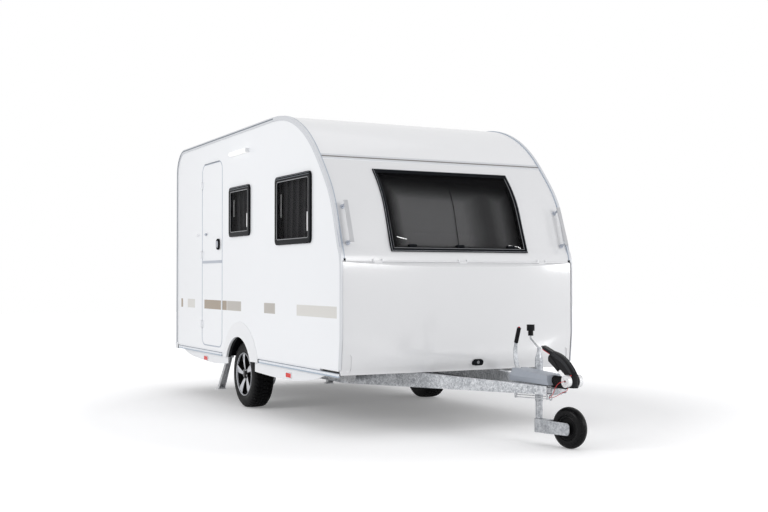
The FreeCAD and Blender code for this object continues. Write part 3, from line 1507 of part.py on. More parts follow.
def rear_handle(side):
    y = side * rear_handle_y
    x = rear_x - rear_handle_reach
    bar = box(x - handle_thickness / 2, x + handle_thickness / 2, y - handle_width / 2,
              y + handle_width / 2, rear_handle_low_z, rear_handle_high_z)
    feet = [rod(V(x, y, z), V(rear_x, y, z), handle_foot / 2)
            for z in (rear_handle_low_z + handle_foot, rear_handle_high_z - handle_foot)]
    return fused(rounded_edges(bar, z_way, handle_thickness / 3), *feet)


def awning_light():
    block = box(awning_lamp_rear_x, awning_lamp_front_x, -body_half_width - awning_lamp_depth,
                -body_half_width, awning_lamp_low_z, awning_lamp_low_z + awning_lamp_height)
    return rounded_edges(block, x_way, awning_lamp_height / 4)


def roof_hatch():
    slope = (roof_front_z - roof_rear_z) / (roof_end_x - rear_x - rear_corner_radius)
    roof_z = roof_rear_z + slope * (hatch_x - rear_x - rear_corner_radius)
    flange = box(hatch_x - hatch_half - hatch_flange, hatch_x + hatch_half + hatch_flange,
                 -hatch_half - hatch_flange, hatch_half + hatch_flange, roof_z - hatch_flange_height,
                 roof_z + hatch_flange_height)
    dome = box(hatch_x - hatch_half, hatch_x + hatch_half, -hatch_half, hatch_half,
               roof_z, roof_z + hatch_height)
    dome = rounded_edges(dome, z_way, hatch_flange)
    return flange.fuse(dome).cut(body_block(side_outline())).removeSplitter()


def build():
    os.makedirs(parts_folder, exist_ok=True)
    band = shell_band()
    keep("right_wall", side_wall(True))
    keep("left_wall", mirrored(side_wall(False)))
    keep("roof", roof_piece(band))
    keep("rear_wall", rear_wall_piece(band))
    keep("front_wall", front_wall_piece(band))
    keep("floor", floor_piece())
    keep("locker_bulkhead", locker_bulkhead())
    rail = edge_rail()
    keep("edge_rails", fused(rail, seam_trim(), mirrored(rail)))
    frames = [window_frame(small_window), window_frame(large_window)]
    panes = [window_pane(small_window), window_pane(large_window)]
    rear_frame, rear_pane = rear_window_frame()
    front_frame, front_pane = front_window()
    rails = [curtain_rail(small_window), curtain_rail(large_window)]
    keep("window_frames", *frames, *[mirrored(frame) for frame in frames], rear_frame, front_frame,
         *rails, *[mirrored(bar) for bar in rails])
    keep("window_panes", *panes, *[mirrored(pane) for pane in panes], rear_pane, front_pane)
    curtains = [side_curtain(small_window), side_curtain(large_window)]
    keep("side_curtains", *curtains, *[mirrored(curtain) for curtain in curtains])
    keep("front_blind", front_blind())
    keep("door_hinges", *door_hinges(), *lid_hinges(), catch(catch_wall_x))
    keep("door_leaf", door_leaf())
    keep("door_handle", door_handle(), catch(catch_door_x))
    keep("door_trim", door_trim())
    lid = locker_lid()
    keep("locker_lid", lid)
    keep("locker_lock", lock_knob(lid))
    flare = wheel_arch_flare()
    keep("wheel_arches", flare, mirrored(flare))
    liner = wheel_box()
    keep("wheel_boxes", liner, mirrored(liner))
    keep("skirt_rails", *skirt_rails())
    covers = [lower_cover(rear_cover_edge_shares, rear_cover_end_x),
              lower_cover(front_cover_edge_shares, front_cover_end_x)]
    keep("lower_covers", *covers, *[mirrored(cover) for cover in covers])
    marks = [reflector(rear_reflector_x), reflector(front_reflector_x)]
    keep("lamps", awning_light(), *rear_lamps(), *marks, *[mirrored(mark) for mark in marks])
    keep("rear_bumper", rear_bumper())
    keep("grab_handles", front_handle(-1), front_handle(1), rear_handle(-1), rear_handle(1))
    keep("roof_hatch", roof_hatch())
    for name, side in (("right", -1), ("left", 1)):
        wheel = rim(side)
        keep("tyre_" + name, tyre(side).cut(wheel))
        keep("rim_" + name, wheel)
    keep("axle", axle())
    side_member = chassis_rail()
    beam = drawbar_beam()
    keep("chassis_frame", fused(side_member, mirrored(side_member), *cross_members()),
         *steady_brackets())
    keep("drawbar_beams", beam, mirrored(beam))
    keep("overrun_housing", fused(overrun_housing(), *beam_spacers()))
    keep("drawbar_cover", drawbar_cover())
    keep("bellows", bellows())
    keep("coupling_head", coupling_head())
    keep("friction_pads", *friction_pads())
    keep("breakaway_cable", breakaway_cable())
    keep("stabiliser_handle", stabiliser_handle())
    lever = handbrake()
    keep("handbrake_lever", lever)
    keep("hand_grips", handbrake_grip(lever), crank_knob())
    keep("jockey_outer_tube", fused(jockey_outer(), jockey_clamp()))
    keep("jockey_inner_tube", jockey_inner())
    keep("jockey_fork", jockey_fork())
    roller = jockey_rim()
    keep("jockey_tyre", jockey_tyre().cut(roller))
    keep("jockey_rim", roller)
    for name, side in (("right", -1), ("left", 1)):
        keep("steady_rear_" + name, steady_leg(rear_steady_pivot_x, side, 0.0))
        keep("steady_front_" + name, steady_leg(front_steady_pivot_x, side, steady_down_angle()))
    print("whole length", round(coupling_nose_x - whole_rear_x), "middle at x", middle_x,
          "lid hinge at x", round(lid_axis().x, 1))


build()
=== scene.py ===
import math

import bmesh
import bpy
import numpy as np
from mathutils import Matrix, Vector


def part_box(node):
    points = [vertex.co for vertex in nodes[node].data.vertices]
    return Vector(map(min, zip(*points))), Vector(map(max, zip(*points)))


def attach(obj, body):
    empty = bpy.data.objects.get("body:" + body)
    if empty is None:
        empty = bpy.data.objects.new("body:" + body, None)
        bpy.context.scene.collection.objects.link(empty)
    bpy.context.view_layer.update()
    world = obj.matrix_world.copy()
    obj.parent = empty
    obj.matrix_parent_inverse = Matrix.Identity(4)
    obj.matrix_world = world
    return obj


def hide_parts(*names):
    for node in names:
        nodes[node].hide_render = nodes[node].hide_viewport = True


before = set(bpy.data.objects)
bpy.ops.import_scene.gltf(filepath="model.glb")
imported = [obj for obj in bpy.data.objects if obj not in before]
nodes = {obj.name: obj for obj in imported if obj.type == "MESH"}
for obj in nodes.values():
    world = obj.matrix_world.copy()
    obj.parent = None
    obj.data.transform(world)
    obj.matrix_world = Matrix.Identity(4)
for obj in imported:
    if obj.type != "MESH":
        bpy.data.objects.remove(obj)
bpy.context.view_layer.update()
print("stage 1: frame loaded,", len(nodes), "nodes")

# Places in this file are metres. x counts forward from the road wheels' centre, and rowX moves it to the frame.
tyreLow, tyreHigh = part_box("tyre_right")
axleX = (tyreLow.x + tyreHigh.x) / 2
wheelZ = tyreHigh.z / 2
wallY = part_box("right_wall")[0].y
halfBody = -wallY


def rowX(x):
    return axleX + x


def rowPlace(place):
    return np.array([rowX(place[0]), place[1], place[2]])


cameraSettings = {
    "place": (9.983, -4.736, 1.240),
    "yaw": 152.515,      # degrees from straight ahead of the caravan, turning left
    "pitch": 0.968,      # degrees above level
    "lens": 51.366,
    "shiftX": 0.00048,
    "shiftY": 0.00486,
}


def placeCamera():
    yaw, pitch = math.radians(cameraSettings["yaw"]), math.radians(cameraSettings["pitch"])
    camera = bpy.data.objects.new("camera", bpy.data.cameras.new("camera"))
    bpy.context.scene.collection.objects.link(camera)
    x, y, z = cameraSettings["place"]
    camera.location = (rowX(x), y, z)
    way = Vector((math.cos(pitch) * math.cos(yaw), math.cos(pitch) * math.sin(yaw), math.sin(pitch)))
    camera.rotation_euler = way.to_track_quat("-Z", "Y").to_euler()
    camera.data.lens = cameraSettings["lens"]
    camera.data.shift_x = cameraSettings["shiftX"]
    camera.data.shift_y = cameraSettings["shiftY"]
    camera.data.clip_end = 200
    bpy.context.scene.camera = camera


placeCamera()
print("stage 2: camera placed")


# Mesh helpers. A shape is a pair of points and faces. A grid of points becomes quads between neighbours.
def gridFaces(rows, columns, wrapRows=False, wrapColumns=False):
    i, j = np.meshgrid(np.arange(rows if wrapRows else rows - 1),
                       np.arange(columns if wrapColumns else columns - 1), indexing="ij")
    below, beside = (i + 1) % rows, (j + 1) % columns
    quads = np.stack([i * columns + j, below * columns + j, below * columns + beside, i * columns + beside], -1)
    return quads.reshape(-1, 4).tolist()


def tubeFaces(rows, columns):
    # A grid whose columns close into a tube, with a cap on its first and last row.
    return gridFaces(rows, columns, False, True) + [list(range(columns)),
                                                    list(range((rows - 1) * columns, rows * columns))]


def joinShapes(shapes):
    # Several shapes as one, with each one's face numbers moved past the points before it.
    points, faces, count = [], [], 0
    for shapePoints, shapeFaces in shapes:
        points.append(np.asarray(shapePoints, float).reshape(-1, 3))
        faces += [[index + count for index in face] for face in shapeFaces]
        count += len(points[-1])
    return np.concatenate(points), faces


def makePiece(name, shapes, body, finish, smooth=True):
    points, faces = joinShapes(shapes)
    mesh = bpy.data.meshes.new(name)
    mesh.from_pydata(points.tolist(), [], faces)
    mesh.validate()
    work = bmesh.new()
    work.from_mesh(mesh)
    bmesh.ops.recalc_face_normals(work, faces=work.faces)
    work.to_mesh(mesh)
    work.free()
    piece = bpy.data.objects.new(name, mesh)
    bpy.context.scene.collection.objects.link(piece)
    mesh.materials.append(finish)
    if smooth:
        mesh.shade_smooth()
        mesh.set_sharp_from_angle(angle=math.radians(38))
    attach(piece, body)
    return piece


def makePairs(rows):
    # Each row's shapes (name, shapes, finish, slot) as a piece on the right side, and mirrored on the left side.
    for mark in ("Right", "Left"):
        for name, shapes, finish, slot in rows:
            own = shapes if mark == "Right" else [mirrorShape(shape) for shape in shapes]
            makePiece(name + mark, own, "root", finish)


def mirrorShape(shape):
    points, faces = shape
    return np.asarray(points).reshape(-1, 3) * [1, -1, 1], faces


def sweepSection(path, sideways, upwards, section, closed=False):
    # Point (i, j) is path i plus section j's two numbers along that point's two ways. Open ends get a cap.
    # A section can also be given for each row.
    path, sideways, upwards, section = (np.asarray(a, float) for a in (path, sideways, upwards, section))
    points = path[:, None] + sideways[:, None] * section[..., :1] + upwards[:, None] * section[..., 1:]
    rows, columns = points.shape[:2]
    return points, gridFaces(rows, columns, True, True) if closed else tubeFaces(rows, columns)


def tubeShape(path, radius, sides=12, closed=False):
    # A circle carried along the path. Its two ways are the cross products of the path's direction with an
    # upright, so the path isn't upright along its whole length.
    path = np.asarray(path, float)
    way = np.gradient(path, axis=0)
    way /= np.linalg.norm(way, axis=1)[:, None]
    up = np.tile([0.0, 0.0, 1.0], (len(path), 1))
    up[np.abs(way[:, 2]) > 0.95] = [1.0, 0.0, 0.0]
    across = np.cross(way, up)
    across /= np.linalg.norm(across, axis=1)[:, None]
    over = np.cross(across, way)
    turn = np.arange(sides) * 2 * np.pi / sides
    section = np.stack([np.cos(turn), np.sin(turn)], 1) * radius
    return sweepSection(path, across, over, section, closed)


def revolveShape(profile, centre, axis, segments=32, ring=False):
    # Point (i, j) is centre + axis * height j + the turned side way i * radius j. A ring's profile closes.
    profile, centre = np.asarray(profile, float), np.asarray(centre, float)
    axis = np.asarray(axis, float) / np.linalg.norm(axis)
    first = np.cross(axis, [0, 0, 1.0] if abs(axis[2]) < 0.9 else [1.0, 0, 0])
    first /= np.linalg.norm(first)
    second = np.cross(axis, first)
    turn = np.arange(segments)[:, None] * 2 * np.pi / segments
    around = np.cos(turn) * first + np.sin(turn) * second
    points = centre + axis * profile[None, :, 1:2] + around[:, None] * profile[None, :, :1]
    faces = gridFaces(segments, len(profile), True, ring)
    for j in () if ring else (0, len(profile) - 1):
        if profile[j, 0] > 1e-6:
            faces.append([i * len(profile) + j for i in range(segments)])
    return points, faces


def plateShape(outline, thickness, place):
    # An outline of (a, b) points as a plate: place(a, b, depth) gives each point of its two faces.
    outline = np.asarray(outline, float)
    count = len(outline)
    points = np.concatenate([place(outline[:, 0], outline[:, 1], np.full(count, depth))
                             for depth in (0.0, thickness)])
    faces = [list(range(count)), list(range(count, 2 * count))]
    faces += [[i, (i + 1) % count, count + (i + 1) % count, count + i] for i in range(count)]
    return points, faces


def roundedOutline(x0, x1, z0, z1, radius, steps=8):
    # Four quarter circles about the inset corners, one after the other.
    turn = np.arange(4)[:, None] * np.pi / 2 - np.pi / 2 + np.linspace(0, np.pi / 2, steps)
    cx = np.array([x1 - radius, x1 - radius, x0 + radius, x0 + radius])[:, None]
    cz = np.array([z0 + radius, z1 - radius, z1 - radius, z0 + radius])[:, None]
    return np.stack([cx + radius * np.cos(turn), cz + radius * np.sin(turn)], -1).reshape(-1, 2)


def outlineNormals(outline, closed=True):
    # The way out of an outline that runs anticlockwise: its direction turned a quarter to the right.
    if closed:
        way = np.roll(outline, -1, 0) - np.roll(outline, 1, 0)
    else:
        way = np.gradient(outline, axis=0)
    way /= np.linalg.norm(way, axis=1)[:, None]
    return np.stack([way[:, 1], -way[:, 0]], 1)


def sideStrip(outline, section, y, side=-1, closed=True):
    # A strip round an outline on a side wall. A section's first number runs out of the outline, its second
    # stands off the wall.
    normals = outlineNormals(outline, closed)
    path = np.stack([outline[:, 0], np.full(len(outline), y), outline[:, 1]], 1)
    sideways = np.stack([normals[:, 0], np.zeros(len(outline)), normals[:, 1]], 1)
    upwards = np.tile([0.0, side, 0.0], (len(outline), 1))
    return sweepSection(path, sideways, upwards, section, closed)


def halfRound(width, height, steps=7, shift=0.0, lift=0.0):
    turn = np.linspace(0, np.pi, steps)
    return np.stack([np.cos(turn) * width / 2 + shift, np.sin(turn) * height + lift], 1)


def convexOutline(points):
    # The outer corners of a cloud of (x, z) points, anticlockwise: Andrew's chain, lower side then upper side.
    points = np.unique(np.round(points, 5), axis=0)

    def chain(cloud):
        kept = []
        for point in cloud:
            while len(kept) > 1 and np.cross(kept[-1] - kept[-2], point - kept[-1]) <= 1e-9:
                kept.pop()
            kept.append(point)
        return kept

    return np.array(chain(points)[:-1] + chain(points[::-1])[:-1])


def nodePoints(name):
    points = np.empty(len(nodes[name].data.vertices) * 3, np.float32)
    nodes[name].data.vertices.foreach_get("co", points)
    return points.reshape(-1, 3).astype(float)


def nodeFaces(name):
    return [list(polygon.vertices) for polygon in nodes[name].data.polygons]


# Node groups: each is built once, and every finish gives it its own values.
def feed(tree, socket, value):
    # A link where the value is a socket, and otherwise the value itself. A colour is given as three numbers.
    if isinstance(value, bpy.types.NodeSocket):
        tree.links.new(value, socket)
    elif value is not None:
        socket.default_value = (*value, 1) if socket.type == "RGBA" else value


def newGroup(name, colours, numbers, outputs=("Color", "Tone", "Height"), vectors=("Vector",)):
    group = bpy.data.node_groups.new(name, "ShaderNodeTree")
    for kind, names in (("Vector", vectors), ("Color", colours), ("Float", numbers)):
        for socketName in names:
            socket = group.interface.new_socket(socketName, in_out="INPUT", socket_type="NodeSocket" + kind)
            if kind == "Float":
                socket.default_value = numbers[socketName]
    for socketName in outputs:
        kind = "Color" if socketName == "Color" else "Float"
        group.interface.new_socket(socketName, in_out="OUTPUT", socket_type="NodeSocket" + kind)
    return group, group.nodes.new("NodeGroupInput").outputs, group.nodes.new("NodeGroupOutput").inputs


def closeGroup(group, out, *results):
    for socket, result in zip(list(out), results):
        group.links.new(result, socket)
    return group


def addMath(tree, operation, first, second=None):
    node = tree.nodes.new("ShaderNodeMath")
    node.operation = operation
    feed(tree, node.inputs[0], first)
    feed(tree, node.inputs[1], second)
    return node.outputs[0]


def addMix(tree, factor, first, second):
    node = tree.nodes.new("ShaderNodeMix")
    node.data_type = "RGBA"
    for number, value in ((0, factor), (6, first), (7, second)):
        feed(tree, node.inputs[number], value)
    return node.outputs[2]


def addNoise(tree, vector, scale, detail, roughness=0.55):
    node = tree.nodes.new("ShaderNodeTexNoise")
    for name, value in (("Vector", vector), ("Scale", scale), ("Detail", detail), ("Roughness", roughness)):
        feed(tree, node.inputs[name], value)
    return node.outputs["Fac"]


def addRange(tree, value, low, high, newLow=0.0, newHigh=1.0):
    node = tree.nodes.new("ShaderNodeMapRange")
    names = ("Value", "From Min", "From Max", "To Min", "To Max")
    for name, number in zip(names, (value, low, high, newLow, newHigh)):
        feed(tree, node.inputs[name], number)
    return node.outputs["Result"]


def splitPlace(tree, vector):
    apart = tree.nodes.new("ShaderNodeSeparateXYZ")
    tree.links.new(vector, apart.inputs[0])
    return apart.outputs


def buildPanelGroup():
    # Gelcoat: a slow drift of tone over the panel, fine orange peel in the height, a little change of gloss.
    group, given, out = newGroup("panelCoat", ["Bright", "Dull"], {"Drift Scale": 1.5, "Peel Scale": 260.0})
    drift = addNoise(group, given["Vector"], given["Drift Scale"], 2.0)
    peel = addNoise(group, given["Vector"], given["Peel Scale"], 1.0)
    return closeGroup(group, out, addMix(group, drift, given["Bright"], given["Dull"]), drift, peel)


def buildSpangleGroup():
    # Zinc crystals: cells of two sizes, each with its own grey, under a cloudy film.
    group, given, out = newGroup("zincSpangle", ["Light", "Dark"], {"Crystal Scale": 90.0})
    shades = []
    for factor in (1.0, 0.37):
        cells = group.nodes.new("ShaderNodeTexVoronoi")
        feed(group, cells.inputs["Vector"], given["Vector"])
        feed(group, cells.inputs["Scale"], addMath(group, "MULTIPLY", given["Crystal Scale"], factor))
        grey = group.nodes.new("ShaderNodeSeparateColor")
        feed(group, grey.inputs[0], cells.outputs["Color"])
        shades.append(grey.outputs[0])
    cloud = addRange(group, addNoise(group, given["Vector"], 7.0, 4.0), 0.3, 0.7)
    shade = addMath(group, "MULTIPLY", shades[0], 0.55)
    for part, weight in ((shades[1], 0.3), (cloud, 0.2)):
        shade = addMath(group, "ADD", shade, addMath(group, "MULTIPLY", part, weight))
    return closeGroup(group, out, addMix(group, shade, given["Dark"], given["Light"]), shade, shades[0])


def buildGrainGroup():
    # Moulded grain: fine pebbles in the height, with a faint scuffed lightening where the coarse noise is high.
    group, given, out = newGroup("mouldedGrain", ["Base", "Scuffed"],
                                 {"Grain Scale": 600.0, "Scuff Scale": 14.0, "Scuffing": 0.3})
    cloud = addNoise(group, given["Vector"], given["Scuff Scale"], 5.0, 0.62)
    scuff = addMath(group, "MULTIPLY", addRange(group, cloud, 0.45, 0.75), given["Scuffing"])
    grain = addNoise(group, given["Vector"], given["Grain Scale"], 2.0)
    return closeGroup(group, out, addMix(group, scuff, given["Base"], given["Scuffed"]), scuff, grain)


def buildWeaveGroup():
    # Plain weave: two crossed sets of threads, each a sine band, whose product is the height.
    group, given, out = newGroup("clothWeave", ["Thread", "Gap"], {"Thread Scale": 900.0}, ("Color", "Height"))
    place = splitPlace(group, given["Vector"])
    bands = [addMath(group, "SINE", addMath(group, "MULTIPLY", place[axis], given["Thread Scale"]))
             for axis in ("X", "Y")]
    height = addRange(group, addMath(group, "MULTIPLY", *bands), -1.0, 1.0)
    cloud = addNoise(group, given["Vector"], 30.0, 3.0)
    shade = addMath(group, "ADD", addMath(group, "MULTIPLY", height, 0.5), addMath(group, "MULTIPLY", cloud, 0.5))
    return closeGroup(group, out, addMix(group, shade, given["Gap"], given["Thread"]), height)


def buildBrushGroup():
    # Drawn metal: noise stretched along one way, for long fine streaks in tone and height.
    group, given, out = newGroup("drawnMetal", ["Light", "Dark"], {"Streak Scale": 40.0},
                                 vectors=("Vector", "Stretch"))
    stretch = group.nodes.new("ShaderNodeVectorMath")
    stretch.operation = "MULTIPLY"
    feed(group, stretch.inputs[0], given["Vector"])
    feed(group, stretch.inputs[1], given["Stretch"])
    streak = addNoise(group, stretch.outputs[0], given["Streak Scale"], 3.0)
    tone = addRange(group, streak, 0.3, 0.7)
    return closeGroup(group, out, addMix(group, tone, given["Dark"], given["Light"]), tone, streak)


panelGroup = buildPanelGroup()
spangleGroup = buildSpangleGroup()
grainGroup = buildGrainGroup()
weaveGroup = buildWeaveGroup()
brushGroup = buildBrushGroup()


def newFinish(name, shine):
    # A material, its tree, the sockets into its Principled shader and the sockets that give the place.
    finish = bpy.data.materials.new(name)
    finish.use_nodes = True
    tree = finish.node_tree
    shader = tree.nodes["Principled BSDF"].inputs
    for socketName, value in shine.items():
        feed(tree, shader[socketName], value)
    return finish, tree, shader, tree.nodes.new("ShaderNodeTexCoord").outputs


def addGroup(tree, group, vector, values):
    node = tree.nodes.new("ShaderNodeGroup")
    node.node_tree = group
    for socketName, value in {"Vector": vector, **values}.items():
        feed(tree, node.inputs[socketName], value)
    return node.outputs


def addBump(tree, shader, height, strength, distance):
    bump = tree.nodes.new("ShaderNodeBump")
    for socketName, value in (("Strength", strength), ("Distance", distance), ("Height", height)):
        feed(tree, bump.inputs[socketName], value)
    tree.links.new(bump.outputs["Normal"], shader["Normal"])


def surfaceFinish(name, group, values, levels, bump, shine):
    # The group's colour, its tone as the roughness by the four levels, and its height as the bump.
    finish, tree, shader, place = newFinish(name, shine)
    look = addGroup(tree, group, place["Object"], values)
    feed(tree, shader["Base Color"], look["Color"])
    feed(tree, shader["Roughness"], addRange(tree, look["Tone"], *levels))
    addBump(tree, shader, look["Height"], *bump)
    return finish


def panelFinish(name, bright, dull, roughness, coat=0.35):
    return surfaceFinish(name, panelGroup, {"Bright": bright, "Dull": dull},
                         (0.0, 1.0, roughness - 0.03, roughness + 0.03), (0.05, 0.0004),
                         {"Coat Weight": coat, "Coat Roughness": 0.12})


def grainFinish(name, base, scuffed, roughness, grain=600.0, bump=0.25, **shine):
    return surfaceFinish(name, grainGroup,
                         {"Base": base, "Scuffed": scuffed, "Grain Scale": grain, "Scuffing": 0.35},
                         (0.0, 0.4, roughness, roughness + 0.12), (bump, 0.0006), shine)


def zincFinish(name, light, dark, crystal, metallic=0.75):
    return surfaceFinish(name, spangleGroup, {"Light": light, "Dark": dark, "Crystal Scale": crystal},
                         (0.0, 1.0, 0.62, 0.38), (0.2, 0.0008), {"Metallic": metallic})


def drawnFinish(name, light, dark, roughness, metallic, stretch=(1.0, 20.0, 20.0)):
    return surfaceFinish(name, brushGroup, {"Light": light, "Dark": dark, "Stretch": stretch},
                         (0.0, 1.0, roughness - 0.06, roughness + 0.08), (0.08, 0.0003), {"Metallic": metallic})


def clothFinish(name, thread, gap, scale=900.0, valleyShade=None):
    # Woven cloth. Where a valley shade colour is given, the piece's own foldShade attribute paints shade into its
    # fold valleys.
    finish, tree, shader, place = newFinish(name, {"Roughness": 0.95, "Sheen Weight": 0.1})
    look = addGroup(tree, weaveGroup, place["UV"], {"Thread": thread, "Gap": gap, "Thread Scale": scale})
    colour = look["Color"]
    if valleyShade:
        foldShade = tree.nodes.new("ShaderNodeAttribute")
        foldShade.attribute_name = "foldShade"
        colour = addMix(tree, foldShade.outputs["Fac"], valleyShade, colour)
    feed(tree, shader["Base Color"], colour)
    addBump(tree, shader, look["Height"], 0.3, 0.0005)
    return finish


sideWhite = panelFinish("sideWhite", (0.88, 0.895, 0.915), (0.865, 0.88, 0.90), 0.30)
frontWhite = panelFinish("frontWhite", (0.76, 0.765, 0.775), (0.745, 0.75, 0.76), 0.26, coat=0.5)
lidWhite = panelFinish("lidWhite", (0.745, 0.75, 0.76), (0.73, 0.735, 0.745), 0.24, coat=1.0)
roofWhite = panelFinish("roofWhite", (0.83, 0.835, 0.845), (0.81, 0.815, 0.825), 0.30)
mouldedWhite = panelFinish("mouldedWhite", (0.86, 0.87, 0.885), (0.84, 0.85, 0.865), 0.36, coat=0.15)
handleGrey = grainFinish("handleGrey", (0.50, 0.505, 0.52), (0.57, 0.575, 0.59), 0.36, grain=900.0, bump=0.08)
seamDark = grainFinish("seamDark", (0.20, 0.19, 0.185), (0.26, 0.25, 0.24), 0.5, grain=900.0, bump=0.05)
sealGrey = grainFinish("sealGrey", (0.40, 0.45, 0.52), (0.46, 0.51, 0.57), 0.5, grain=900.0, bump=0.1)
gasketGrey = grainFinish("gasketGrey", (0.17, 0.175, 0.185), (0.24, 0.245, 0.255), 0.3, grain=900.0, bump=0.08)
# Dark blue-grey for the hinge rail's ribs: the blue is a painted reflection.
ribReflectionBlue = grainFinish("ribReflectionBlue", (0.045, 0.065, 0.085), (0.07, 0.09, 0.11), 0.3, grain=900.0, bump=0.05)
coverGrey = grainFinish("coverGrey", (0.34, 0.37, 0.42), (0.42, 0.45, 0.49), 0.42, grain=800.0, bump=0.12)
boardDark = grainFinish("boardDark", (0.045, 0.043, 0.04), (0.08, 0.075, 0.07), 0.75, grain=160.0, bump=0.4)
signalRed = grainFinish("signalRed", (0.62, 0.012, 0.02), (0.7, 0.05, 0.05), 0.35, grain=900.0, bump=0.06)
gripBlack = grainFinish("gripBlack", (0.007, 0.007, 0.008), (0.016, 0.016, 0.018), 0.3, grain=500.0, IOR=1.2)
boxBlack = grainFinish("boxBlack", (0.003, 0.003, 0.004), (0.008, 0.008, 0.009), 0.8, grain=300.0, IOR=1.1)
# Black for the sheets behind the curtains: painted shade of the cabin.
shadeSheetBlack = grainFinish("shadeSheetBlack", (0.004, 0.004, 0.004), (0.008, 0.008, 0.008), 0.8, grain=300.0, IOR=1.1)
frameBlack = grainFinish("frameBlack", (0.006, 0.007, 0.009), (0.012, 0.013, 0.016), 0.2,
                         grain=900.0, bump=0.08, IOR=1.1)
castBlack = grainFinish("castBlack", (0.007, 0.007, 0.008), (0.022, 0.022, 0.024), 0.4,
                        grain=240.0, bump=0.5, IOR=1.25)
rubberBlack = grainFinish("rubberBlack", (0.006, 0.006, 0.0065), (0.014, 0.014, 0.015), 0.42,
                          grain=700.0, IOR=1.22)
wheelBlack = grainFinish("wheelBlack", (0.006, 0.006, 0.0065), (0.012, 0.012, 0.013), 0.3,
                         grain=900.0, bump=0.05, IOR=1.18)
jockeyRubber = grainFinish("jockeyRubber", (0.005, 0.005, 0.0055), (0.010, 0.010, 0.011), 0.26,
                           grain=500.0, bump=0.12, IOR=1.22)
gripSatin = grainFinish("gripSatin", (0.022, 0.023, 0.026), (0.035, 0.036, 0.04), 0.34,
                        grain=700.0, bump=0.1, IOR=1.25)
railLight = drawnFinish("railLight", (0.67, 0.685, 0.71), (0.61, 0.625, 0.65), 0.4, 0.2)
railMetal = drawnFinish("railMetal", (0.20, 0.225, 0.26), (0.15, 0.17, 0.20), 0.42, 0.4)
trimGrey = drawnFinish("trimGrey", (0.50, 0.53, 0.59), (0.42, 0.45, 0.51), 0.38, 0.5)
# Light grey for a painted highlight line on the front window's frame.
edgeGlint = drawnFinish("edgeGlint", (0.34, 0.35, 0.37), (0.26, 0.27, 0.29), 0.3, 0.6)
# Near white for the window stays: partly their metal, partly a painted glint on the panes.
stayGlintWhite = drawnFinish("stayGlintWhite", (0.92, 0.92, 0.92), (0.84, 0.84, 0.85), 0.35, 0.3)
steelBright = drawnFinish("steelBright", (0.88, 0.88, 0.88), (0.74, 0.74, 0.75), 0.2, 1.0, (20.0, 20.0, 1.0))
padSteel = drawnFinish("padSteel", (0.78, 0.78, 0.79), (0.66, 0.67, 0.68), 0.3, 0.6, (8.0, 1.0, 8.0))
rimSilver = drawnFinish("rimSilver", (0.60, 0.61, 0.64), (0.48, 0.49, 0.52), 0.34, 0.7, (8.0, 1.0, 8.0))
zincBright = zincFinish("zincBright", (0.72, 0.735, 0.755), (0.24, 0.255, 0.28), 95.0)
zincFine = zincFinish("zincFine", (0.58, 0.595, 0.615), (0.25, 0.265, 0.29), 110.0)
# Paler, less metallic zinc for the steadies: painted light on legs that sit in the body's shade.
zincLitPale = zincFinish("zincLitPale", (0.84, 0.85, 0.86), (0.44, 0.45, 0.47), 110.0, 0.3)
boltZinc = zincFinish("boltZinc", (0.74, 0.75, 0.77), (0.42, 0.43, 0.45), 240.0, 0.9)
curtainCloth = clothFinish("curtainCloth", (0.095, 0.097, 0.102), (0.068, 0.07, 0.074),
                           valleyShade=(0.015, 0.015, 0.017))
blindCloth = clothFinish("blindCloth", (0.42, 0.42, 0.425), (0.37, 0.37, 0.375), 700.0)
# Near black for painted shade in the arch's return and in the wall's cut edge round the wheel.
hollowShade = (0.005, 0.006, 0.008)


def paneFinish():
    # Tinted acrylic: a dark film that lets part of the light through, with faint scratches in its gloss.
    finish, tree, shader, place = newFinish("tintedPane", {"Alpha": 0.30, "IOR": 1.06})
    look = addGroup(tree, grainGroup, place["Object"],
                    {"Base": (0.008, 0.008, 0.009), "Scuffed": (0.016, 0.016, 0.017), "Scuffing": 0.6})
    feed(tree, shader["Base Color"], look["Color"])
    feed(tree, shader["Roughness"], addRange(tree, look["Tone"], 0.0, 0.6, 0.0, 0.03))
    return finish


def archFinish():
    # Moulded white whose inner return, one lip's depth in from the side, is painted near black as shade, like the
    # dark wheel box.
    finish, tree, shader, place = newFinish("archMoulding", {"Coat Weight": 0.15, "Coat Roughness": 0.12})
    depth = addMath(tree, "ABSOLUTE", splitPlace(tree, place["Object"])["Y"])
    inside = addRange(tree, depth, halfBody + 0.001, halfBody - 0.002)
    look = addGroup(tree, panelGroup, place["Object"], {"Bright": (0.86, 0.87, 0.885), "Dull": (0.84, 0.85, 0.865)})
    feed(tree, shader["Base Color"], addMix(tree, inside, look["Color"], hollowShade))
    feed(tree, shader["Roughness"], addRange(tree, inside, 0.0, 1.0, 0.36, 0.8))
    return finish


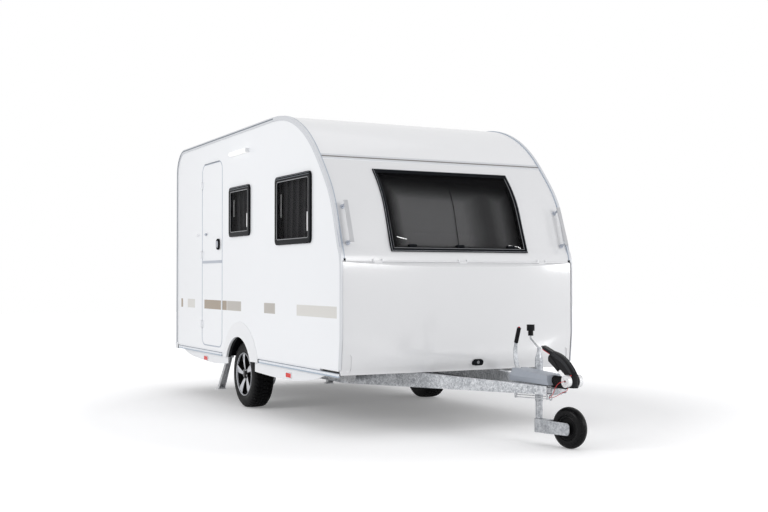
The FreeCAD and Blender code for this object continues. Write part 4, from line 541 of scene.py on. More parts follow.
def tyreFinish():
    # Tyre rubber with fine moulding rings: the height is a sine of the distance from the wheels' axle.
    finish, tree, shader, place = newFinish("tyreBlack", {"IOR": 1.18})
    look = addGroup(tree, grainGroup, place["Object"],
                    {"Base": (0.005, 0.005, 0.0055), "Scuffed": (0.012, 0.012, 0.0125), "Grain Scale": 420.0})
    spot = tree.nodes.new("ShaderNodeMapping")
    spot.vector_type = "TEXTURE"
    spot.inputs["Location"].default_value = (axleX, 0.0, wheelZ)
    tree.links.new(place["Object"], spot.inputs[0])
    apart = splitPlace(tree, spot.outputs[0])
    square = [addMath(tree, "MULTIPLY", apart[axis], apart[axis]) for axis in ("X", "Z")]
    radius = addMath(tree, "SQRT", addMath(tree, "ADD", *square))
    ring = addMath(tree, "SINE", addMath(tree, "MULTIPLY", radius, 1500.0))
    height = addMath(tree, "ADD", addMath(tree, "MULTIPLY", ring, 0.3), look["Height"])
    feed(tree, shader["Base Color"], look["Color"])
    feed(tree, shader["Roughness"], addRange(tree, look["Tone"], 0.0, 0.4, 0.48, 0.66))
    addBump(tree, shader, height, 0.22, 0.0006)
    return finish


def lampFinish():
    # One lens material: red prisms low on the body, and above them the lit awning lamp.
    finish, tree, shader, place = newFinish("lampLens", {
        "Coat Weight": 0.1, "Coat Roughness": 0.05, "IOR": 1.2, "Emission Strength": 0.35, "Roughness": 0.18})
    apart = splitPlace(tree, place["Object"])
    lit = addRange(tree, apart["Z"], 2.38, 2.39)
    prisms = tree.nodes.new("ShaderNodeTexVoronoi")
    prisms.inputs["Scale"].default_value = 140.0
    tree.links.new(place["Object"], prisms.inputs["Vector"])
    prism = prisms.outputs["Distance"]
    red = addMix(tree, prism, (0.80, 0.022, 0.012), (0.60, 0.008, 0.006))
    # The tail lamps' lower fields: amber for turning, clear for reversing.
    points = nodePoints("lamps")
    tail = points[(points[:, 0] < rowX(-1.9)) & (np.abs(points[:, 1]) > 0.5)]
    low, rise = tail[:, 2].min(), tail[:, 2].max() - tail[:, 2].min()
    atRear = addMath(tree, "LESS_THAN", apart["X"], rowX(-1.9))
    for top, colour in ((0.52, (0.80, 0.25, 0.02)), (0.26, (0.72, 0.72, 0.72))):
        field = addMath(tree, "MULTIPLY", atRear, addMath(tree, "LESS_THAN", apart["Z"], low + top * rise))
        red = addMix(tree, field, red, colour)
    white = addMix(tree, prism, (0.95, 0.95, 0.93), (0.85, 0.85, 0.84))
    feed(tree, shader["Base Color"], addMix(tree, lit, red, white))
    feed(tree, shader["Emission Color"], addMix(tree, lit, (0.015, 0.0, 0.0), (1.0, 0.98, 0.94)))
    addBump(tree, shader, prism, 0.3, 0.001)
    return finish


stripeSettings = {
    "band": (0.924, 1.017),
    "brown": (0.275, 0.205, 0.13),
    "taupe": (0.43, 0.40, 0.36),
    "pale": (0.66, 0.645, 0.61),
    "blocks": [
        ("brown", -1.885, -1.822), ("pale", -1.650, -1.395), ("brown", -1.076, -0.549),
        ("brown", -0.506, -0.375), ("taupe", -0.366, 0.035), ("taupe", 0.639, 0.904), ("pale", 1.394, 2.199),
    ],
}


def buildStripeGroup():
    # The side's printed band: each block is where x lies within half a width of its centre.
    group, given, out = newGroup("sideStripes", ["Paint"], {}, ("Color",))
    apart = splitPlace(group, given["Vector"])

    def within(axis, start, end, centre):
        near = addMath(group, "COMPARE", apart[axis], centre)
        near.node.inputs[2].default_value = (end - start) / 2
        return near

    low, high = stripeSettings["band"]
    inBand = within("Z", low, high, (low + high) / 2)
    colour = given["Paint"]
    for shade, start, end in stripeSettings["blocks"]:
        inBlock = within("X", start, end, rowX((start + end) / 2))
        colour = addMix(group, addMath(group, "MULTIPLY", inBlock, inBand), colour, stripeSettings[shade])
    return closeGroup(group, out, colour)


def addStripes(finish, archRadius=0.372):
    tree = finish.node_tree
    base = tree.nodes["Principled BSDF"].inputs["Base Color"]
    place = next(node for node in tree.nodes if node.type == "TEX_COORD").outputs["Object"]
    stripes = addGroup(tree, buildStripeGroup(), place, {"Paint": base.links[0].from_socket})
    # The wall's cut edge round the wheel is painted near black as shade: inside the wall's face, within the arch's
    # radius.
    spot = splitPlace(tree, place)
    dx = addMath(tree, "SUBTRACT", spot["X"], axleX)
    dz = addMath(tree, "SUBTRACT", spot["Z"], wheelZ)
    away = addMath(tree, "ADD", addMath(tree, "MULTIPLY", dx, dx), addMath(tree, "MULTIPLY", dz, dz))
    inside = addRange(tree, addMath(tree, "ABSOLUTE", spot["Y"]), halfBody - 0.0005, halfBody - 0.002)
    cut = addMath(tree, "MULTIPLY", inside, addMath(tree, "LESS_THAN", away, archRadius ** 2))
    feed(tree, base, addMix(tree, cut, stripes["Color"], hollowShade))


def skirtFinish():
    # The skirt's rail in bands of height: a thin dark line, a white band with fine ticks, a pale blue line.
    finish, tree, shader, place = newFinish("skirtBands", {"Roughness": 0.35})
    apart = splitPlace(tree, place["Object"])
    tick = addMath(tree, "FRACT", addMath(tree, "MULTIPLY", apart["X"], 12.0))
    low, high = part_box("skirt_rails")
    blueTop, darkFoot = low.z + 0.011, high.z - 0.005
    colour = addMix(tree, addMath(tree, "LESS_THAN", tick, 0.05), (0.80, 0.83, 0.87), (0.62, 0.65, 0.69))
    colour = addMix(tree, addMath(tree, "LESS_THAN", apart["Z"], blueTop), colour, (0.36, 0.44, 0.53))
    colour = addMix(tree, addMath(tree, "GREATER_THAN", apart["Z"], darkFoot), colour, (0.20, 0.23, 0.28))
    feed(tree, shader["Base Color"], colour)
    addBump(tree, shader, addNoise(tree, place["Object"], 300.0, 2.0), 0.08, 0.0004)
    return finish


stripedWhite = sideWhite.copy()
stripedWhite.name = "stripedWhite"
addStripes(stripedWhite)
skirtBands = skirtFinish()
tintedPane = paneFinish()
archWhite = archFinish()
lampLens = lampFinish()
tyreBlack = tyreFinish()
nodeFinishes = {
    "right_wall": stripedWhite, "left_wall": stripedWhite, "door_leaf": stripedWhite, "rear_wall": sideWhite,
    "roof": roofWhite, "front_wall": frontWhite, "locker_lid": lidWhite, "floor": boardDark,
    "locker_bulkhead": boardDark, "edge_rails": railLight, "window_frames": frameBlack,
    "window_panes": tintedPane, "side_curtains": curtainCloth, "front_blind": blindCloth,
    "door_hinges": mouldedWhite, "door_handle": frameBlack, "door_trim": trimGrey, "locker_lock": frameBlack,
    "wheel_arches": archWhite, "wheel_boxes": boxBlack, "skirt_rails": skirtBands,
    "lower_covers": mouldedWhite, "lamps": lampLens, "rear_bumper": mouldedWhite, "grab_handles": handleGrey,
    "roof_hatch": mouldedWhite, "tyre_right": tyreBlack, "tyre_left": tyreBlack, "rim_right": wheelBlack,
    "rim_left": wheelBlack, "axle": zincFine, "chassis_frame": zincBright, "drawbar_beams": zincBright,
    "overrun_housing": zincFine, "drawbar_cover": coverGrey, "bellows": rubberBlack,
    "coupling_head": castBlack, "friction_pads": padSteel, "stabiliser_handle": gripBlack,
    "handbrake_lever": zincFine, "hand_grips": gripBlack, "jockey_outer_tube": zincFine,
    "jockey_inner_tube": zincFine, "jockey_fork": zincFine, "jockey_tyre": rubberBlack,
    "jockey_rim": castBlack, "steady_rear_right": zincLitPale, "steady_rear_left": zincLitPale,
    "steady_front_right": zincLitPale, "steady_front_left": zincLitPale, "breakaway_cable": signalRed,
}
for name, node in nodes.items():
    node.data.materials.clear()
    node.data.materials.append(nodeFinishes[name])
print("stage 3: finishes made and given to the frame")


# The body's side outline, read from the right wall, and the front curve as x and way out against z.
bodyOutline = convexOutline(nodePoints("right_wall")[:, [0, 2]])
outlineWays = outlineNormals(bodyOutline)
onFront = (bodyOutline[:, 0] > rowX(0.9)) & (bodyOutline[:, 1] > 0.8)
frontOrder = np.argsort(bodyOutline[onFront, 1])
frontX, frontZ = bodyOutline[onFront][frontOrder].T
frontWays = outlineWays[onFront][frontOrder]


def frontPlace(y, z, out):
    # A point of the front curve at height z, moved out along the curve's normal there.
    y, z = np.broadcast_arrays(np.asarray(y, float), np.asarray(z, float))
    wayX, wayZ = np.interp(z, frontZ, frontWays[:, 0]), np.interp(z, frontZ, frontWays[:, 1])
    return np.stack([np.interp(z, frontZ, frontX) + wayX * out, y, z + wayZ * out], -1)


def frontStrip(outline, section, closed=True):
    # A strip on the front curve round an outline of (y, z) points.
    normals = outlineNormals(outline, closed)
    y, z = outline.T
    wayX, wayZ = np.interp(z, frontZ, frontWays[:, 0]), np.interp(z, frontZ, frontWays[:, 1])
    sideways = np.stack([-wayZ * normals[:, 1], normals[:, 0], wayX * normals[:, 1]], 1)
    upwards = np.stack([wayX, np.zeros_like(y), wayZ], 1)
    return sweepSection(frontPlace(y, z, 0.0), sideways, upwards, section, closed)


def boxShape(low, high, bevel=0.0):
    # A block with its twelve edges cut at 45 degrees: each corner gives three points, one drawn in per axis.
    low, high = np.asarray(low, float), np.asarray(high, float)
    corners = np.array([[i, j, k] for i in (0, 1) for j in (0, 1) for k in (0, 1)])
    base = np.where(corners == 1, high, low)
    inward = np.where(corners == 1, -1.0, 1.0) * bevel
    points = np.concatenate([base + inward * (1 - np.eye(3)[axis]) for axis in range(3)])
    work = bmesh.new()
    for point in points:
        work.verts.new(point)
    bmesh.ops.remove_doubles(work, verts=work.verts, dist=1e-6)
    bmesh.ops.convex_hull(work, input=work.verts)
    bmesh.ops.dissolve_limit(work, angle_limit=0.01, verts=work.verts, edges=work.edges)
    work.verts.index_update()
    shape = (np.array([vert.co for vert in work.verts]), [[vert.index for vert in face.verts] for face in work.faces])
    work.free()
    return shape


def boltShape(centre, axis, radius=0.008, height=0.006):
    # A hexagon head with a rounded crown on a washer.
    washer = revolveShape([(0, 0), (radius * 1.55, 0), (radius * 1.55, height * 0.25), (0, height * 0.25)],
                          centre, axis, 20)
    head = revolveShape([(0, height * 0.2), (radius, height * 0.2), (radius, height * 0.85),
                         (radius * 0.8, height), (0, height)], centre, axis, 6)
    return joinShapes([washer, head])


windowSettings = {
    "corner": 0.045, "width": 0.046, "proud": 0.0165, "bevel": 0.007, "gasketWidth": 0.009,
    "gasketProud": 0.0035, "ribWidth": 0.005, "ribProud": 0.003, "ribDrops": (0.0, 0.016),
}


def windowOutlines():
    # The side windows' outer limits, from their curtains' boxes, which lie inside the frames by one width.
    points = nodePoints("side_curtains")
    near = points[points[:, 1] < 0]
    middle = rowX(0.6)
    margin, overlap = windowSettings["width"], 0.040
    limits = []
    for group in (near[near[:, 0] < middle], near[near[:, 0] > middle]):
        x0, x1 = group[:, 0].min() - margin, group[:, 0].max() + margin
        limits.append((x0, x1, group[:, 2].min() + overlap, group[:, 2].max() - overlap))
    return limits


sideWindows = windowOutlines()


def frameSection(width, proud, bevel):
    # Flat face with rounded shoulders on both sides.
    return [(0.0, 0.0), (0.0, proud - bevel), (-bevel * 0.3, proud - bevel * 0.3), (-bevel, proud),
            (-width + bevel, proud), (-width + bevel * 0.3, proud - bevel * 0.3), (-width, proud - bevel),
            (-width, 0.0)]


def makeWindowFrames():
    s = windowSettings
    frames, gaskets, ribs = [], [], []
    width, proud = s["width"], s["proud"]
    section = frameSection(width, proud, s["bevel"])
    bead = halfRound(s["gasketWidth"], s["gasketProud"], lift=proud - 0.0030)
    rib = halfRound(s["ribWidth"], s["ribProud"], lift=proud - 0.001)
    for x0, x1, z0, z1 in sideWindows:
        frames.append(sideStrip(roundedOutline(x0, x1, z0, z1, s["corner"]), section, wallY))
        inner = roundedOutline(x0 + width, x1 - width, z0 + width, z1 - width, s["corner"] / 2)
        gaskets.append(sideStrip(inner, bead, wallY))
        # Two ribs along the frame's top for the hinge rail; their blue tint is a painted reflection.
        for drop in s["ribDrops"]:
            line = np.array([(x0 + 0.03, z1 - drop - 0.008), (x1 - 0.03, z1 - drop - 0.008)])
            ribs.append(sideStrip(line, rib, wallY, closed=False))
    makePairs([("windowFrames", frames, frameBlack, "black_trim"), ("windowGaskets", gaskets, gasketGrey, "rubber"),
               ("windowRibs", ribs, ribReflectionBlue, "black_trim")])


makeWindowFrames()

frontWindowSettings = {
    "width": 0.026, "proud": 0.0135, "bevel": 0.005, "latchYs": (-0.45, 0.0, 0.50),
    # Each painted glint's two ends, as y and the height above the frame's foot.
    "glintStreaks": [((-0.585, 0.118), (-0.500, 0.098)), ((0.475, 0.060), (0.560, 0.050)),
              ((0.565, 0.052), (0.590, 0.036))],
}


def frontLoop(half, low, high, count=60):
    # A four-sided outline on the front, with enough places to a side for it to follow the curve.
    corners = np.array([(half, low), (half, high), (-half, high), (-half, low)])
    share = np.linspace(0, 1, count)[:-1, None]
    return np.concatenate([corners[i] + (corners[(i + 1) % 4] - corners[i]) * share for i in range(4)])


def makeFrontWindow():
    # The frame's limits come from the CAD frames' own points that lie ahead of the curtains.
    s = frontWindowSettings
    points = nodePoints("window_frames")
    ahead = points[points[:, 0] > rowX(1.9)]
    half, low, high = ahead[:, 1].max(), ahead[:, 2].min(), ahead[:, 2].max()
    width = s["width"]
    outline = frontLoop(half, low, high)
    rim = frontStrip(outline, frameSection(width, s["proud"], s["bevel"]))
    makePiece("frontFrame", [rim], "root", frameBlack)
    bead = frontStrip(frontLoop(half - width, low + width, high - width), halfRound(0.008, 0.003, lift=0.0065))
    makePiece("frontGasket", [bead], "root", gasketGrey)
    # A thin light line along the frame's face: a painted highlight on its edge.
    line = frontStrip(outline, halfRound(0.0028, 0.0012, shift=-0.0045, lift=0.0128))
    makePiece("frontFrameGlint", [line], "root", edgeGlint)
    # Short bright streaks on the pane: painted glints of light.
    clip = halfRound(0.006, 0.0015, lift=0.0062)
    glintStreaks = [frontStrip(np.linspace((y0, low + z0), (y1, low + z1), 6), clip, False)
             for (y0, z0), (y1, z1) in s["glintStreaks"]]
    makePiece("frontPaneGlints", glintStreaks, "root", steelBright)
    # Three latches inside the pane's foot.
    latches = []
    for y in s["latchYs"]:
        foot = frontPlace(y, low + width + 0.02, 0.004)
        latches.append(boxShape(foot - [0.03, 0.035, 0.012], foot + [0.006, 0.035, 0.012], 0.004))
    makePiece("frontLatches", latches, "root", frameBlack)
    return half, low, high


frontWindowHalf, frontWindowLow, frontWindowHigh = makeFrontWindow()


def paintedShadeFinish():
    # The pane's film: black along its head as print, and painted shade below it that fades down from the head, fades
    # in from both sides and up from the foot, and darkens an upright band on the left of the middle.
    finish, tree, shader, place = newFinish("panePaintedShade", {"Roughness": 0.6, "IOR": 1.1})
    apart = splitPlace(tree, place["Object"])
    grain = addNoise(tree, place["Object"], 40.0, 2.0)
    feed(tree, shader["Base Color"], addMix(tree, grain, (0.004, 0.004, 0.004), (0.009, 0.009, 0.010)))
    lower = addMath(tree, "SUBTRACT", apart["Z"], addMath(tree, "MULTIPLY", apart["Y"], -0.05))
    cover = addRange(tree, lower, frontWindowHigh - 0.26, frontWindowHigh - 0.075)
    band = addMath(tree, "MULTIPLY", addRange(tree, apart["Y"], 0.10, 0.30),
                   addRange(tree, apart["Y"], 0.52, 0.36, 0.0, 0.45))
    right = addRange(tree, apart["Y"], -frontWindowHalf + 0.16, -frontWindowHalf + 0.03)
    left = addRange(tree, apart["Y"], frontWindowHalf - 0.22, frontWindowHalf - 0.03, 0.0, 0.85)
    foot = addRange(tree, apart["Z"], frontWindowLow + 0.055, frontWindowLow + 0.03)
    for edge in (band, right, left, foot):
        cover = addMath(tree, "MAXIMUM", cover, edge)
    tree.links.new(cover, shader["Alpha"])
    return finish


def makePanePaintedShade(inset=0.024, rows=40):
    # The film lies just behind the pane and carries its print and the painted shade.
    ys = np.linspace(-frontWindowHalf + inset, frontWindowHalf - inset, 30)
    zs = np.linspace(frontWindowLow + inset, frontWindowHigh - inset, rows)
    film = (frontPlace(*np.meshgrid(ys, zs, indexing="ij"), -0.008), gridFaces(30, rows))
    makePiece("panePaintedShade", [film], "root", paintedShadeFinish())
    # The blind's upright seam leans a little towards the left.
    line = np.linspace((0.010, frontWindowLow + 0.05), (0.045, frontWindowHigh - 0.08), rows)
    section = [(-0.0022, -0.0385), (0.0022, -0.0385), (0.0022, -0.0365), (-0.0022, -0.0365)]
    makePiece("blindSeam", [frontStrip(line, section, False)], "root", frameBlack)


makePanePaintedShade()
print("stage 4: window frames and gaskets")

railSettings = {
    "grooveWidth": 0.017, "grooveInset": 0.010, "grooveProud": 0.0085, "grooveEndX": 0.86,
    "lineWidth": 0.004, "lineInsets": (0.001, 0.031), "lineProud": 0.0075, "sealIn": -0.0178,
    "cornerWidth": 0.029, "footZ": 0.53, "topZ": 2.67, "frontFootZ": 1.40, "seamZ": 2.239,
}


def outlineRun(startX, startZ, endX, endZ):
    # The stretch of the body's outline between two points, forwards over the roof.
    first = np.argmin(np.hypot(bodyOutline[:, 0] - startX, bodyOutline[:, 1] - startZ))
    last = np.argmin(np.hypot(bodyOutline[:, 0] - endX, bodyOutline[:, 1] - endZ))
    index = np.arange(first, last - 1, -1) if first > last else np.arange(first, last - len(bodyOutline) - 1, -1)
    return bodyOutline[index]


def makeRailLines():
    s = railSettings
    rear, nose = bodyOutline[:, 0].min(), bodyOutline[:, 0].max()
    endX = rowX(s["grooveEndX"])
    roof = outlineRun(rear, s["footZ"], endX, s["topZ"])[::-1]
    roof = np.concatenate([roof[:-1], [[rear, s["footZ"]]]]) if roof[-1, 1] > 0.6 else roof
    front = outlineRun(endX, s["topZ"], nose, s["frontFootZ"])[::-1]
    behind = roof[roof[:, 0] < rear + 0.16]
    groove = halfRound(s["grooveWidth"], s["grooveProud"], 9, shift=-s["grooveInset"])
    corner = halfRound(s["cornerWidth"], s["grooveProud"] - 0.001, 9, shift=-(s["cornerWidth"] / 2 + 0.001))
    # The dark seal that lies on the roof along the rail's inner edge.
    seal = [(-0.004, s["sealIn"]), (0.0068, s["sealIn"]), (0.0074, s["sealIn"] - 0.003),
            (0.0055, s["sealIn"] - 0.008), (-0.004, s["sealIn"] - 0.008)]
    lines = [halfRound(s["lineWidth"], s["lineProud"] - 0.001, 5, shift=-inset) for inset in s["lineInsets"]]
    for line in lines:
        line[:, 1] = np.maximum(line[:, 1], 0.001)

    def strips(runs, sections):
        return [sideStrip(run, section, wallY, closed=False) for run in runs for section in sections]

    makePairs([("awningRail", strips([roof], [groove]), railMetal, "light_metal"),
               ("railSeal", strips([roof, front], [seal]), sealGrey, "rubber"),
               ("cornerRail", strips([behind], [corner]), railMetal, "light_metal"),
               ("railLines", strips([front], lines), trimGrey, "light_metal")])
    ends = halfBody - 0.019
    across = np.stack([np.linspace(ends, -ends, 12), np.full(12, s["seamZ"])], 1)
    seam = frontStrip(across, halfRound(0.017, 0.0045, lift=0.001), False)
    makePiece("seamStrip", [seam], "root", seamDark)


makeRailLines()


def makeWindowStayGlints():
    # Slim stays inside a hinged pane's two upright edges, the front one lower than the rear one; their near white,
    # width and place make painted glints of light on the pane.
    shapes = []
    y = wallY - 0.0075
    for x0, x1, z0, z1 in sideWindows:
        height = z1 - z0
        for x, low, high, half in ((x0 + 0.133, 0.40, 0.74, 0.0011), (x1 - 0.078, 0.17, 0.44, 0.0085)):
            shapes.append(boxShape((x - half, y - 0.002, z0 + low * height),
                                   (x + half, y + 0.0015, z0 + high * height), 0.0012))
    makePairs([("windowStayGlints", shapes, stayGlintWhite, "light_metal")])


makeWindowStayGlints()

curtainSettings = {"folds": 3.8, "depth": 0.0115, "sharp": 0.45, "columns": 240, "rows": 40}


def runLengths(points):
    # How far along a line of points each of them lies.
    return np.concatenate([[0], np.cumsum(np.linalg.norm(np.diff(points, axis=0), axis=1))])


def addUv(piece, across, up):
    # One pair of numbers for each of the piece's points, handed to the corners of its faces.
    layer = piece.data.uv_layers.new(name="UVMap")
    corner = [loop.vertex_index for loop in piece.data.loops]
    uv = np.stack([across, up], -1).reshape(-1, 2)[corner]
    layer.data.foreach_set("uv", uv.astype(np.float32).reshape(-1))


def foldedCurtain(name, x0, x1, z0, z1, y, seed):
    # Folds: y moves by a sine of x whose phase drifts with height, fuller near the foot than at the heading.
    s = curtainSettings
    u, v = np.meshgrid(np.linspace(0, 1, s["columns"]), np.linspace(0, 1, s["rows"]), indexing="ij")
    rng = np.random.default_rng(seed)
    phases = rng.uniform(0, 2 * np.pi, 3)
    folds = s["folds"] * (x1 - x0) / 0.5
    wave = np.sin(2 * np.pi * folds * u + 0.5 * np.sin(2.2 * v + phases[0]) + 0.7 * np.sin(5 * u + phases[1]))
    depth = s["depth"] * (0.75 + 0.25 * (1 - v)) * (1 + 0.15 * np.sin(9 * u + phases[2]))
    wave = wave + s["sharp"] * 0.3 * np.sin(4 * np.pi * folds * u + phases[1])
    points = np.stack([x0 + (x1 - x0) * u, y + depth * wave / 1.2, z0 + (z1 - z0) * v], -1)
    piece = makePiece(name, [(points, gridFaces(s["columns"], s["rows"]))], "root", curtainCloth)
    # Painted shade: each point's depth in a fold's valley, by which the cloth's colour darkens.
    foldShade = piece.data.attributes.new("foldShade", "FLOAT", "POINT")
    foldShade.data.foreach_set("value", np.clip(0.5 + 0.55 * wave * np.sign(-y), 0, 1).astype(np.float32).reshape(-1))
    addUv(piece, np.broadcast_to(runLengths(points[:, 0])[:, None], v.shape), (z1 - z0) * v)
    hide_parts("side_curtains")


def makeCurtains():
    # Each curtain fills its own part of the node, with a black sheet behind it that closes off the cabin: painted
    # shade where the cabin's inside would show.
    points = nodePoints("side_curtains")
    middle = rowX(0.6)
    for side, mark in ((-1, "Right"), (1, "Left")):
        for number in range(len(sideWindows)):
            own = points[(np.sign(points[:, 1]) == side) & ((points[:, 0] > middle) == (number == 1))]
            low, high = own.min(0), own.max(0)
            foldedCurtain("curtain%s%d" % (mark, number), low[0] + 0.002, high[0] - 0.002, low[2] + 0.001,
                          high[2] - 0.001, (low[1] + high[1]) / 2, 7 + number)
            behind = np.array([low[0] - 0.18, high[1] + 0.001 if side < 0 else low[1] - 0.005, low[2]])
            beyond = np.array([high[0] + 0.10, behind[1] + 0.004, high[2]])
            makePiece("shadeSheet%s%d" % (mark, number), [boxShape(behind, beyond)], "root", shadeSheetBlack)


makeCurtains()

blindSettings = {"pleats": 46, "rowsPerPleat": 4, "columns": 24, "inset": -0.044, "pleatDepth": 0.0006}


def makeFrontBlind():
    # A pleated blind behind the front window: even small pleats across, on the curve's own line.
    s = blindSettings
    half = nodePoints("front_blind")[:, 1].max() - 0.002
    share = np.linspace(0, 1, s["pleats"] * s["rowsPerPleat"] + 1)
    zs = (frontWindowLow - 0.02) + (frontWindowHigh - frontWindowLow + 0.03) * share
    out = s["inset"] + s["pleatDepth"] * (np.abs((share * s["pleats"]) % 1.0 - 0.5) * 2)
    yy, zz = np.meshgrid(np.linspace(-half, half, s["columns"]), zs, indexing="ij")
    points = frontPlace(yy, zz, out[None, :])
    piece = makePiece("frontBlind", [(points, gridFaces(s["columns"], len(zs)))], "root", blindCloth)
    addUv(piece, yy, np.broadcast_to(runLengths(points[0]), yy.shape))
    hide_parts("front_blind")


makeFrontBlind()
print("stage 5: curtains and blind")

tyreSettings = {
    "outY": 1.062, "innerY": 0.857, "segments": 288, "wallRows": 14, "treadRows": 97, "beadDepth": 0.120,
    "shoulder": 0.024, "crown": 0.0055, "blocks": 48, "grooveDepth": 0.0085,
    "grooveYs": (-0.048, -0.017, 0.017, 0.048), "grooveHalf": 0.0045, "slotShare": 0.30,
}


def makeTyre(name, node, body, side):
    # Grid of (turn, section). The section is half an oval wall, a shoulder and a crowned tread. The tread's
    # radius drops in the long grooves, and in slots that cross its ribs at even turns.
    s = tyreSettings
    low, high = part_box(node)
    radius, middleY = (high.z - low.z) / 2, side * (s["outY"] + s["innerY"]) / 2
    half = (s["outY"] - s["innerY"]) / 2
    bead = radius - s["beadDepth"]
    wall = np.linspace(0, 1, s["wallRows"])
    wallRadius = bead + (radius - s["shoulder"] - bead) * wall
    wallOut = half - 0.008 * (2 * wall - 1) ** 2 - 0.0006
    treadHalf = half - s["shoulder"]
    tread = np.linspace(treadHalf, -treadHalf, s["treadRows"])
    treadRadius = radius - s["crown"] * (np.abs(tread) / treadHalf) ** 2.2
    profileY = np.concatenate([wallOut, tread, -wallOut[::-1]])
    profileR = np.concatenate([wallRadius, treadRadius, wallRadius[::-1]])
    isTread = np.repeat([False, True, False], [s["wallRows"], s["treadRows"], s["wallRows"]])
    turn = np.arange(s["segments"]) * 2 * np.pi / s["segments"]
    t, y = np.meshgrid(turn, profileY, indexing="ij")
    inLong = np.any([np.abs(y - groove) < s["grooveHalf"] for groove in s["grooveYs"]], 0)
    # Slots on the outer ribs, short cuts on the middle one, and leaning cuts on the two between.
    block = t * s["blocks"] / (2 * np.pi)
    phase = (block + 9.0 * np.abs(y)) % 1.0
    lean = (block - 16.0 * np.abs(y) + 0.5 * (y > 0)) % 1.0
    inSlot = (phase < s["slotShare"]) & (np.abs(y) > 0.053)
    fine = (phase < 0.26) & (np.abs(y) < 0.012)
    between = (lean < 0.24) & (np.abs(y) > 0.017) & (np.abs(y) < 0.048)
    r = profileR - np.where(isTread & (inLong | inSlot | fine | between), s["grooveDepth"], 0.0)
    raised = (np.abs(profileR - (bead + 0.052)) < 0.012) & ~isTread
    y = y + np.where(raised, np.sign(y) * 0.0006, 0.0)
    points = np.stack([axleX + r * np.sin(t), middleY + y, radius + r * np.cos(t)], -1)
    shape = (points, gridFaces(len(turn), len(profileY), True, True))
    piece = makePiece(name, [shape], body, tyreBlack)
    piece.data.set_sharp_from_angle(angle=math.radians(30))
    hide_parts(node)


makeTyre("tyreRight", "tyre_right", "wheel_right", -1)
makeTyre("tyreLeft", "tyre_left", "wheel_left", 1)


wheelSettings = {
    "faceY": 1.0575, "turns": (95, 167, 239, 311, 23), "outer": 0.1965, "inner": 0.030, "dish": 0.020,
    "stations": 12, "body": 0.034, "boltTurn": 59, "boltRadius": 0.043,
}


def wheelCentre(side):
    return np.array([axleX, side * wheelSettings["faceY"], wheelZ])


def spokeShape(side, turn, shrink, lift, thickness):
    # A blade: station i lies at radius r, half as wide as a share of r, moved sideways near the hub, and its
    # face sinks by a parabola towards the hub and leans across its width.
    s = wheelSettings
    r = np.linspace(s["inner"] + shrink, s["outer"] - shrink, s["stations"])
    share = (r - s["inner"]) / (s["outer"] - s["inner"])
    half = 0.017 + 0.026 * share ** 1.3 - shrink
    middle = 0.010 * (1 - share)
    face = lift - s["dish"] * (1 - share) ** 2
    section = np.array([(-1, -thickness), (-1, -0.0015), (-0.94, 0), (0.94, 0), (1, -0.0015), (1, -thickness)])
    angle = math.radians(turn)
    way = np.array([math.cos(angle), 0, math.sin(angle)])
    across = np.array([-math.sin(angle), 0, math.cos(angle)])
    out = np.array([0, side, 0.0])
    t = middle[:, None] + half[:, None] * section[None, :, 0]
    d = face[:, None] + section[None, :, 1] - 0.10 * (half[:, None] * section[None, :, 0] + half[:, None])
    points = wheelCentre(side) + way * r[:, None, None] + across * t[..., None] + out * d[..., None]
    return points, tubeFaces(len(r), len(section))


def makeWheels():
    s = wheelSettings
    for side, body, mark in ((-1, "wheel_right", "Right"), (1, "wheel_left", "Left")):
        axis, centre = (0, side, 0), wheelCentre(side)
        lip = revolveShape([(0.1965, -0.014), (0.2045, -0.012), (0.2060, -0.003), (0.2050, 0.0012),
                            (0.2020, 0.0030), (0.1985, 0.0010), (0.1970, -0.004)], centre, axis, 96, True)
        makePiece("rimLip" + mark, [lip], body, rimSilver)
        barrel = revolveShape([(0.188, -0.100), (0.191, -0.080), (0.1968, -0.014), (0.2045, -0.012),
                               (0.200, -0.100)], centre, axis, 96, True)
        well = revolveShape([(0.0, -0.058), (0.188, -0.058), (0.188, -0.062), (0.0, -0.062)], centre, axis, 64)
        makePiece("rimBarrel" + mark, [barrel, well], body, wheelBlack)
        blades = [spokeShape(side, turn, 0.0, -0.0014, s["body"]) for turn in s["turns"]]
        makePiece("spokeBodies" + mark, blades, body, wheelBlack)
        faces = [spokeShape(side, turn, 0.0045, 0.0, 0.0030) for turn in s["turns"]]
        makePiece("spokeFaces" + mark, faces, body, rimSilver)
        hub = revolveShape([(0.052, -0.050), (0.052, -0.0185), (0.048, -0.0145), (0.034, -0.0125),
                            (0.0325, -0.0075), (0.030, -0.0060), (0.012, -0.0050), (0, -0.0048)], centre, axis, 48)
        makePiece("hubCap" + mark, [hub], body, wheelBlack)
        bolts = []
        for angle in np.radians(s["boltTurn"] + 72.0 * np.arange(5)):
            spot = (axleX + s["boltRadius"] * math.cos(angle), side * (s["faceY"] - 0.0155),
                    wheelZ + s["boltRadius"] * math.sin(angle))
            bolts.append(boltShape(spot, axis, 0.0072, 0.006))
        makePiece("wheelBolts" + mark, bolts, body, boltZinc)
        valve = tubeShape([(axleX + 0.128, side * 1.040, wheelZ - 0.128),
                           (axleX + 0.116, side * 1.050, wheelZ - 0.116)], 0.004, 10)
        makePiece("valve" + mark, [valve], body, rubberBlack)
makeWheels()


